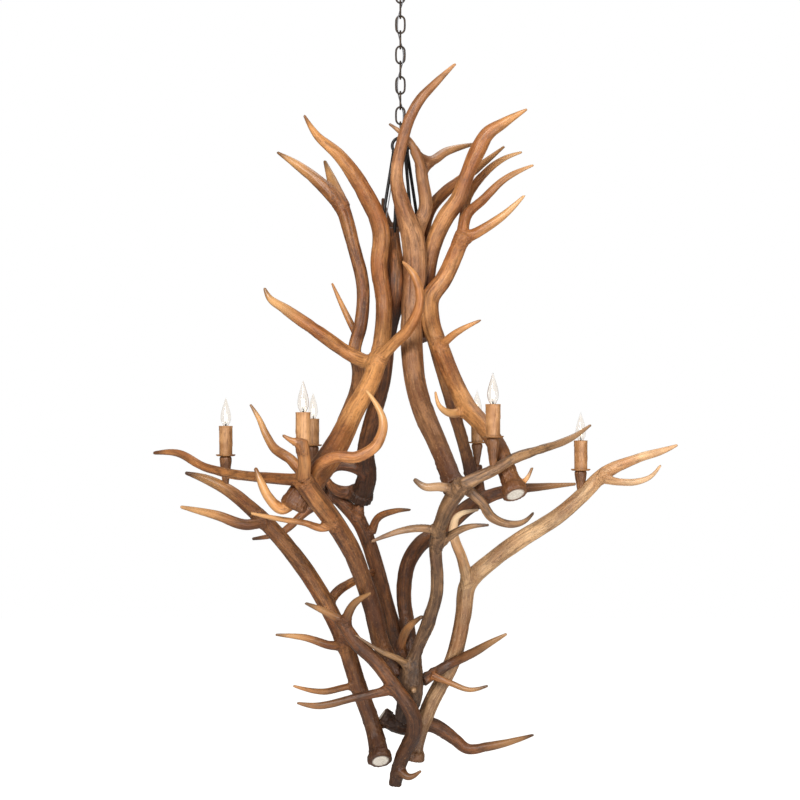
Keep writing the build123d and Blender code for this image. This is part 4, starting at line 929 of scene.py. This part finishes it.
def chain_tree():
    """The node tree of the whole chain, and its inputs by their labels."""
    tree = bpy.data.node_groups.new("welded_chain", "GeometryNodeTree")
    sizes = {}
    for label, value in CHAIN_SIZES.items():
        kind = "NodeSocketInt" if isinstance(value, int) else "NodeSocketFloat"
        sizes[label] = tree.interface.new_socket(name=label, in_out="INPUT", socket_type=kind)
        sizes[label].default_value = value
    tree.interface.new_socket(name="Geometry", in_out="OUTPUT", socket_type="NodeSocketGeometry")
    r = Recipe(tree)
    given = r.add("NodeGroupInput")
    wire2 = r.times(given["Wire radius"], 2.0)
    across, tall = r.minus(given["Width"], wire2), r.minus(given["Length"], wire2)
    block = r.geo("CurvePrimitiveQuadrilateral", Width=across, Height=tall)
    oval = r.geo("FilletCurve", {"mode": "POLY"}, Curve=block, Count=14,
                 Radius=r.times(across, 0.499))
    fine = r.geo("ResampleCurve", Curve=oval, Count=72)
    place = r.geo("InputPosition")
    x, y, _ = r.add("ShaderNodeSeparateXYZ", _0=place)
    height = r.maths("DIVIDE", r.maths("ABSOLUTE", y, 0.0), r.times(tall, 0.5))
    slim = r.minus(1.0, r.times(r.maths("POWER", height, 1.5), given["Slimming"]))
    drawn_in = r.shade("CombineXYZ", X=r.times(x, slim), Y=y)
    fine = r.geo("SetPosition", Geometry=fine, Position=drawn_in)
    weld = r.shade("CombineXYZ", X=r.times(across, -0.5))
    gap = r.add("ShaderNodeVectorMath", {"operation": "DISTANCE"}, _0=place, _1=weld)["Value"]
    swell = r.times(r.ramp(gap, WELD_REACH, 0.0), given["Weld swell"])
    thick = r.geo("SetCurveRadius", Curve=fine, Radius=r.plus(swell, 0.97))
    section = r.geo("CurvePrimitiveCircle", Resolution=16, Radius=given["Wire radius"])
    wire = r.geo("CurveToMesh", Curve=thick, Profile_Curve=section)
    upright = r.geo("Transform", Geometry=wire, Rotation=(math.pi / 2, 0, 0))
    top = r.shade("CombineXYZ", Z=r.plus(r.times(given["Length"], 0.5), FIRST_LINK_Z))
    step = r.shade("CombineXYZ", Z=r.times(given["Pitch"], -1.0))
    spots = r.geo("MeshLine", Count=given["Count"], Start_Location=top, Offset=step)
    turn = r.shade("CombineXYZ", Z=r.times(r.plus(r.geo("InputIndex"), 1.0), math.pi / 2))
    links = r.geo("InstanceOnPoints", Points=spots, Instance=upright, Rotation=turn)
    soft = r.geo("SetShadeSmooth", _0=r.geo("RealizeInstances", _0=links))
    painted = r.geo("SetMaterial", _0=soft, Material=BRONZE)
    r.fill(tree.nodes.new("NodeGroupOutput").inputs[0], painted)
    return tree, sizes


tree, sizes = chain_tree()
chain = mesh_object("chain_links", [(0, 0, 0)], [])
maker = chain.modifiers.new("chain", "NODES")
maker.node_group = tree
maker[sizes["Count"].identifier] = LINK_COUNT
maker[sizes["Pitch"].identifier] = LINK_PITCH
made = evaluated_mesh(chain)
chain.modifiers.clear()
chain.data = made
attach(chain, "chain")
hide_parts(*[f"chain_{link}" for link in LINKS])
print(len(made.polygons), "faces in", LINK_COUNT, "links")

# %% [markdown]
# ## Hanger
# A ring of black bar hangs in the lowest link, and four straight rods run from it to the upper
# antlers' middles. Each rod is welded to the ring, which leaves a small bead.

# %% Ring, rods and weld beads
HANGER_RING_R, HANGER_WIRE_R, ROD_R = 0.021, 0.004, 0.0042
HANGER_RING_Z = -0.5316
BEAD_R = 0.0052
# The angle on the ring, the antler and the row of its beam where each rod ends.
RODS = ((215, "antler_upper_front_left", 9), (305, "antler_upper_front", 8),
        (250, "antler_upper_back", 7), (325, "antler_upper_back_right", 6))


def row_place(antler, run, row):
    """The place of one row of an antler, in metres."""
    x, y, z, _ = ANTLERS[antler][run][row]
    return np.array([x * CM, y * CM, z * CM + HANG_Z])


def closed_ring(centre, radius, wire, steps, sides):
    """Points and faces of a ring of round bar that stands upright, facing the front."""
    points, faces = [], []
    for k in range(steps):
        a = 2 * math.pi * k / steps
        for j in range(sides):
            b = 2 * math.pi * j / sides
            out = radius + wire * math.cos(b)
            points.append((centre[0] + out * math.cos(a), centre[1] + wire * math.sin(b),
                           centre[2] + out * math.sin(a)))
            n, m = (k + 1) % steps, (j + 1) % sides
            faces.append((k * sides + j, k * sides + m, n * sides + m, n * sides + j))
    return points, faces


def bead(centre, radius):
    """A small ball of weld."""
    rows = [(0, -radius)] + [(radius * math.sin(a), -radius * math.cos(a))
                             for a in (0.5, 1.0, 1.57, 2.1, 2.6)] + [(0, radius)]
    return spun(rows, 16, centre)


hanger_shapes = [closed_ring((0, 0, HANGER_RING_Z), HANGER_RING_R, HANGER_WIRE_R, 72, 18)]
for angle, antler, row in RODS:
    turn = math.radians(angle)
    start = np.array([HANGER_RING_R * math.cos(turn), 0,
                      HANGER_RING_Z + HANGER_RING_R * math.sin(turn)])
    end = row_place(antler, 0, row)
    hanger_shapes.append(bent_tube([start + (end - start) * k / 6 for k in range(7)], ROD_R, 18))
    hanger_shapes.append(bead(start + (end - start) * 0.012, BEAD_R))
joined("hanger_ring_and_rods", hanger_shapes, BLACK, "antler_cluster", ["hanger"])
print(len(RODS), "rods")

# %% [markdown]
# ## Supply cord
# The lead comes down from the nipple, crosses each link's window in turn and goes into a hole in
# an upper antler. Its line is a smooth spline with the route's turning points as control points.
# Three lengths of tube follow that line, and the middle one rides with the chain.

# %% The cord's line
CORD_R = 0.0014
CORD_OUT = 0.0075
CORD_RISE = 0.003
route = [(0, 0, 0.006), (0, 0, -0.061), (-0.0105, 0.008, -0.0855)]
QUARTER = ((-1, 1), (1, 1), (1, -1), (-1, -1))
for k in range(1, LINK_COUNT + 1):
    x, y = QUARTER[k % 4]
    route.append((x * CORD_OUT, y * CORD_OUT, FIRST_LINK_Z - (k - 1) * LINK_PITCH + CORD_RISE))
hole = row_place("antler_upper_front_left", 0, 9) + (0.008, 0.009, 0)
last = np.array(route[-1])
route.append(tuple(last + (hole - last) * 0.33 + (0.002, 0, 0)))
route.append(tuple(last + (hole - last) * 0.67 + (0.001, -0.002, 0)))
route.append(tuple(hole))
curve = bpy.data.curves.new("cord_route", "CURVE")
curve.dimensions = "3D"
spline = curve.splines.new("NURBS")
spline.points.add(len(route) - 1)
for point, place in zip(spline.points, route):
    point.co = (*place, 1.0)
spline.order_u = 3
spline.use_endpoint_u = True
spline.resolution_u = 14
route_object = bpy.data.objects.new("cord_route", curve)
bpy.context.scene.collection.objects.link(route_object)
route_mesh = evaluated_mesh(route_object)
cord_line = np.array([v.co for v in route_mesh.vertices])
bpy.data.objects.remove(route_object)
print("cord", round(float(lengths(np.diff(cord_line, axis=0)).sum()) / MM), "mm")

# %% Three lengths of cord
UPPER_CUT = FIRST_LINK_Z + LINK_LENGTH / 2
LOWER_CUT = FIRST_LINK_Z - (LINK_COUNT - 1) * LINK_PITCH + LINK_LENGTH / 2
heights = cord_line[:, 2]
upper = int(np.argmax(heights < UPPER_CUT))
lower = int(np.argmax(heights < LOWER_CUT))


def cord_length(name, first, stop):
    """One length of the cord, from one place of its line to another."""
    made = mesh_object(name, *bent_tube(cord_line[first:stop], CORD_R, 12), LEAD)
    return made


cords = [cord_length("supply_cord_top", 0, upper + 1),
         cord_length("supply_cord_middle", upper, lower + 1),
         cord_length("supply_cord_foot", lower, len(cord_line))]
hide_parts("supply_cord")
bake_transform(cords[0])
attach(cords[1], "chain")
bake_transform(cords[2])
print("cut at", round(UPPER_CUT, 4), "and", round(LOWER_CUT, 4))

# %% [markdown]
# ## Candles
# Each lamp is a grooved cup cut from antler, a drip ring, a tan sleeve with a socket in it, and a
# clear flame-tip bulb. The cups differ in height, so each is turned to its own.

# %% Where the candles stand
# The antler, the run and the row below each candle, and how far above it the cup's top is.
CANDLES = {
    "left": ("antler_lower_left", 0, 7, 0.085),
    "right": ("antler_lower_right", 0, 9, 0.068),
    "front_left": ("antler_lower_front_left", 0, 7, 0.080),
    "front_right": ("antler_lower_front_right", 2, 1, 0.075),
    "back_left": ("antler_lower_back_left", 0, 7, 0.080),
    "back_right": ("antler_lower_back_right", 1, 3, 0.062),
}
seats = {name: (row_place(antler, run, row) + (0, 0, rise), rise)
         for name, (antler, run, row, rise) in CANDLES.items()}
print({name: [round(float(v), 3) for v in seat[0]] for name, seat in seats.items()})

# %% [markdown]
# The cup's grooves run down it and its burr-like shoulder is lumpy. The drip ring is a shallow
# dish with a raised lip. The wax sleeve has runs of wax that start at its rim and end in drops.

# %% Cups, drip rings and sleeves
ROUND = 6.28


def cup_shape(place, rise, seed):
    """A grooved cup whose top is at its place and whose foot lies the rise below it."""
    profile = [(0, -rise - 0.001), (0.0062, -rise), (0.0085, -rise * 0.85), (0.0112, -rise * 0.6),
               (0.0128, -rise * 0.45), (0.0148, -rise * 0.28), (0.0162, -rise * 0.16),
               (0.0164, -rise * 0.07), (0.0150, -0.0012), (0.0140, 0), (0, 0)]
    heights = np.array([h for _, h in profile[1:-1]])
    radii = np.array([r for r, _ in profile[1:-1]])
    fine = np.linspace(heights[0], heights[-1], 40)
    smooth = [(float(np.interp(h, heights, radii)), float(h)) for h in fine]
    rng = np.random.default_rng(seed)
    phase = rng.random(4) * ROUND

    def grooves(angle, height, radius):
        """Eleven grooves that sway on their way down, three broad swellings and small knobs."""
        fade = min(1.0, radius / 0.012)
        sway = 14 * height
        cut = abs(math.sin(5.5 * angle + phase[0] + sway)) + 0.5 * math.sin(3 * angle + phase[1])
        knob = math.sin(11 * angle + phase[2]) * math.sin(320 * height + phase[3])
        return fade * (0.0008 * cut - 0.0012 + 0.0003 * knob)

    return spun([profile[0]] + smooth + [profile[-1]], 60, place, grooves)


def ring_shape(place, _, seed):
    """A shallow dish whose lip isn't quite round."""
    phase = np.random.default_rng(seed).random(2) * ROUND
    profile = [(0.0024, 0), (0.0195, 0), (0.0216, 0.0002), (0.0239, 0.0011), (0.0253, 0.0028),
               (0.0256, 0.0041), (0.0253, 0.0049), (0.0245, 0.0049), (0.0236, 0.0042),
               (0.0222, 0.0028), (0.0205, 0.0022), (0.0024, 0.0022), (0.0024, 0)]

    def uneven(angle, height, radius):
        edge = max(0.0, (radius - 0.019) / 0.008)
        wave = 0.0003 * math.sin(5 * angle + phase[0]) + 0.0002 * math.sin(9 * angle + phase[1])
        return edge * (wave - 0.0002)

    return spun(profile, 72, place, uneven)


def sleeve_shape(place, _, seed):
    """A sleeve with runs of wax on its outside, each with an angle, a length and a half width."""
    rng = np.random.default_rng(seed)
    runs = [(rng.random() * ROUND, 0.012 + rng.random() * 0.045, 0.10 + rng.random() * 0.10)
            for _ in range(11)]
    foot, top = RING_THICK, RING_THICK + SLEEVE_HEIGHT
    outside, bore, inside, most = 0.01725, 0.0159, 0.0165, 0.00125

    def drips(angle, height, radius):
        if radius < inside:
            return 0.0
        out = 0.0
        for where, length, half in runs:
            off = abs((angle - where + math.pi) % (2 * math.pi) - math.pi) / half
            down = (top - height) / length
            if off < 1 and down < 1:
                drop = 0.6 + 0.4 * max(0.0, 1 - abs(down - 0.86) / 0.14)
                out = max(out, 0.0011 * (1 - off * off) ** 0.6 * drop)
        slump = 0.0005 * max(0.0, 1 - (top - height) / 0.006)
        dents = 0.00025 * math.sin(3 * angle + seed) * math.sin(60 * height + seed)
        return min(most, out + slump) + dents - 0.0003

    wall = [(outside, foot + (top - 0.0015 - foot) * k / 60) for k in range(61)]
    rim = [(0.0172, top - 0.0006), (0.0166, top), (0.0162, top - 0.0004), (bore, top - 0.0012)]
    return spun([(bore, foot)] + wall + rim + [(bore, foot)], 96, place, drips)


# Each piece, how one of it is shaped, the first seed, its finish, its solid and its slot.
for piece, shape, seed, finish, node, slot_name in (
        ("cups", cup_shape, 40, CUP, "candle_cups", "dark_antler"),
        ("bobeches", ring_shape, 50, RIM, "drip_rings", "dark_antler"),
        ("wax_sleeves", sleeve_shape, 60, WAX, "candle_sleeves", "candle_tan")):
    shapes = [shape(place, rise, seed + k) for k, (place, rise) in enumerate(seats.values())]
    joined(piece, shapes, finish, "antler_cluster", [node])
print(len(seats), "cups, rings and sleeves")

# %% [markdown]
# ## Sockets and bulbs
# The bulb turns in its socket, so its base, glass and filament are pieces of that bulb's own body.
# Clear glass needs two walls: the light bends at the outer one and back at the inner one.

# %% Sockets, bases, glass and filaments
GLASS_FOOT = SOCKET_TOP + 0.002
GLASS_HEIGHT, GLASS_WALL = 0.076, 0.0007
THREAD_R, THREAD_DEPTH, THREAD_STEP = 0.00585, 0.00025, 0.00033
COIL_R, COIL_WIRE_R, COIL_HEIGHT = 0.0022, 0.0007, 0.0155


def socket_shape(place):
    """A round insert with a bore for the bulb's base."""
    top, low = SOCKET_TOP, SOCKET_TOP - 0.034
    return spun([(0, low), (0.0119, low), (0.0121, low + 0.001), (0.0121, top - 0.001),
                 (0.0115, top), (0.0068, top), (0.0066, top - 0.001), (0.0066, top - 0.0204),
                 (0, top - 0.0204)], 40, place)


def base_shape(place):
    """A screw base: its contact, eight ridges of thread and its neck."""
    top, low = SOCKET_TOP, SOCKET_TOP - 0.020
    profile = [(0, low), (0.0022, low), (0.0028, low + 0.001), (0.0030, low + 0.0025),
               (0.0054, low + 0.004)]
    for k in range(48):
        profile.append((THREAD_R + THREAD_DEPTH * math.sin(k * math.pi / 3),
                        low + 0.0045 + k * THREAD_STEP))
    profile += [(0.0060, top + 0.0005), (0.0060, top + 0.0019), (0.0050, top + 0.002),
                (0, top + 0.002)]
    return spun(profile, 32, place)


# The flame's radius, and how far up the glass it stands, as a share of its height.
GLASS_ROWS = [(0.0057, 0.0), (0.0062, 0.02), (0.0082, 0.07), (0.0106, 0.13), (0.0127, 0.21),
              (0.0136, 0.29), (0.0134, 0.37), (0.0125, 0.46), (0.0108, 0.56), (0.0086, 0.66),
              (0.0062, 0.76), (0.0041, 0.85), (0.0024, 0.92), (0.0012, 0.97)]


def glass_shape(place):
    """A flame-shaped glass with an outer and an inner wall."""
    heights = np.linspace(0, 0.97, 48)
    shares = [share for _, share in GLASS_ROWS]
    radii = [radius for radius, _ in GLASS_ROWS]
    outer = [(float(np.interp(h, shares, radii)), GLASS_FOOT + float(h) * GLASS_HEIGHT)
             for h in heights]
    inner = [(max(radius - GLASS_WALL, 0.0003), height) for radius, height in outer[:-1]]
    tips = [(0, GLASS_FOOT + GLASS_HEIGHT * share) for share in (0.995, 0.955)]
    return spun(outer + tips + inner[::-1], 40, place)


def filament_shape(place):
    """A coil of seven turns."""
    coil = [(COIL_R * math.cos(a), COIL_R * math.sin(a), GLASS_FOOT + 0.016 + COIL_HEIGHT * k / 60)
            for k, a in enumerate(np.linspace(0, 14 * math.pi, 61))]
    return bent_tube(np.array(coil) + place, COIL_WIRE_R, 8)


def stem_shape(place):
    """The mount that carries the coil."""
    low = SOCKET_TOP + 0.0015
    return spun([(0, low), (0.0030, low), (0.0022, low + 0.006), (0.0009, low + 0.012),
                 (0.0007, low + 0.034), (0, low + 0.0345)], 16, place)


joined("socket_inserts", [socket_shape(place) for place, _ in seats.values()], PHENOLIC,
       "antler_cluster", ["lamp_sockets"])
for name, (place, _) in seats.items():
    body = "bulb_" + name
    joined("base_" + name, [base_shape(place)], BRASS, body, ["bulb_base_" + name])
    joined("glass_" + name, [glass_shape(place)], GLASS, body, ["bulb_glass_" + name])
    joined("filament_" + name, [filament_shape(place)], FILAMENT, body, [])
    joined("stem_" + name, [stem_shape(place)], STEEL, body, [])
print(len(seats), "bulbs")

# %% [markdown]
# ## What stays of the solids
# The strap, nipple, nuts, screws and studs already have their real shape, so only their finish
# is made better.

# %% Finishes on the solids that stay
for node in ("mounting_strap", "nipple", "lock_nuts", "antler_screws", "candle_studs"):
    mesh = nodes[node].data
    mesh.materials.clear()
    mesh.materials.append(STEEL)
print("five solids keep their shape")

# %% [markdown]
# ## Stage, light and camera
# A pale floor lies below. The world is white where the camera or the glass looks at it, and gives
# only a weak, warm light, so that the gaps stay dark. The key lamp stands high at the front left,
# a weaker fill low at the front right, and the weakest above and behind. The camera is level with
# the middle of the antlers, and its view is shifted as the photograph's is.

# %% Floor and world
FLOOR_Z, FLOOR_HALF = -2.9, 9
FLOOR_SHINE = 0.9
WORLD_LIGHT = 0.16
WORLD_MIRRORED = 0.25


def looked_at(r):
    """The light path, and 1 where the camera looks, straight or through glass."""
    path = r.add("ShaderNodeLightPath")
    return path, r.maths("MAXIMUM", path["Is Camera Ray"], path["Is Transmission Ray"])


floor = mesh_object("floor", [(x * FLOOR_HALF, y * FLOOR_HALF, FLOOR_Z)
                              for x, y in ((-1, -1), (1, -1), (1, 1), (-1, 1))], [(0, 1, 2, 3)])
r = Finish("pale_floor")
path, looks = looked_at(r)
r.give(Base_Color=(0.85, 0.85, 0.85, 1), Roughness=0.9, Emission_Color=(1, 1, 1, 1),
       Emission_Strength=r.times(looks, FLOOR_SHINE))
floor.data.materials.append(r.made)

world = bpy.data.worlds.new("white_studio")
bpy.context.scene.world = world
world.use_nodes = True
r = Recipe(world.node_tree)
path, looks = looked_at(r)
background = world.node_tree.nodes["Background"].inputs
r.fill(background["Color"], r.blended(looks, (1.0, 0.88, 0.75, 1), (1, 1, 1, 1)))
looks = r.maths("MAXIMUM", looks, r.times(path["Is Glossy Ray"], WORLD_MIRRORED))
r.fill(background["Strength"], r.between(looks, WORLD_LIGHT, 1.0))
print("floor at", FLOOR_Z, "m")


# %% Lamps and camera
def soft_lamp(name, place, target, size, power):
    """A square soft lamp that points at its target."""
    lamp = bpy.data.lights.new(name, "AREA")
    lamp.shape = "SQUARE"
    lamp.size = size
    lamp.energy = power
    made = bpy.data.objects.new(name, lamp)
    made.location = place
    made.rotation_euler = (Vector(target) - Vector(place)).to_track_quat("-Z", "Y").to_euler()
    bpy.context.scene.collection.objects.link(made)


MIDDLE = (0, 0, -1.25)
soft_lamp("key", (-1.2, -3.7, 0.6), MIDDLE, 1.4, 190)
soft_lamp("fill", (1.7, -3.4, -1.7), MIDDLE, 1.4, 80)
soft_lamp("top", (0.6, 0.8, 1.6), MIDDLE, 1.6, 35)
camera = bpy.data.cameras.new("camera")
camera.lens = 67.2
camera.sensor_width = 36.0
camera.shift_y = 0.0375
camera_object = bpy.data.objects.new("camera", camera)
camera_object.location = (-0.001, -3.865, HANG_Z - 0.7125)
camera_object.rotation_euler = (math.pi / 2, 0, 0)
bpy.context.scene.collection.objects.link(camera_object)
bpy.context.scene.camera = camera_object
bpy.context.scene.view_settings.view_transform = "Standard"
print("camera", camera.lens, "mm")

# %% [markdown]
# Last, the scene is brought up to date. The dressed chandelier has to stay inside the imported
# solids' box.

# %% Finish
bpy.context.view_layer.update()
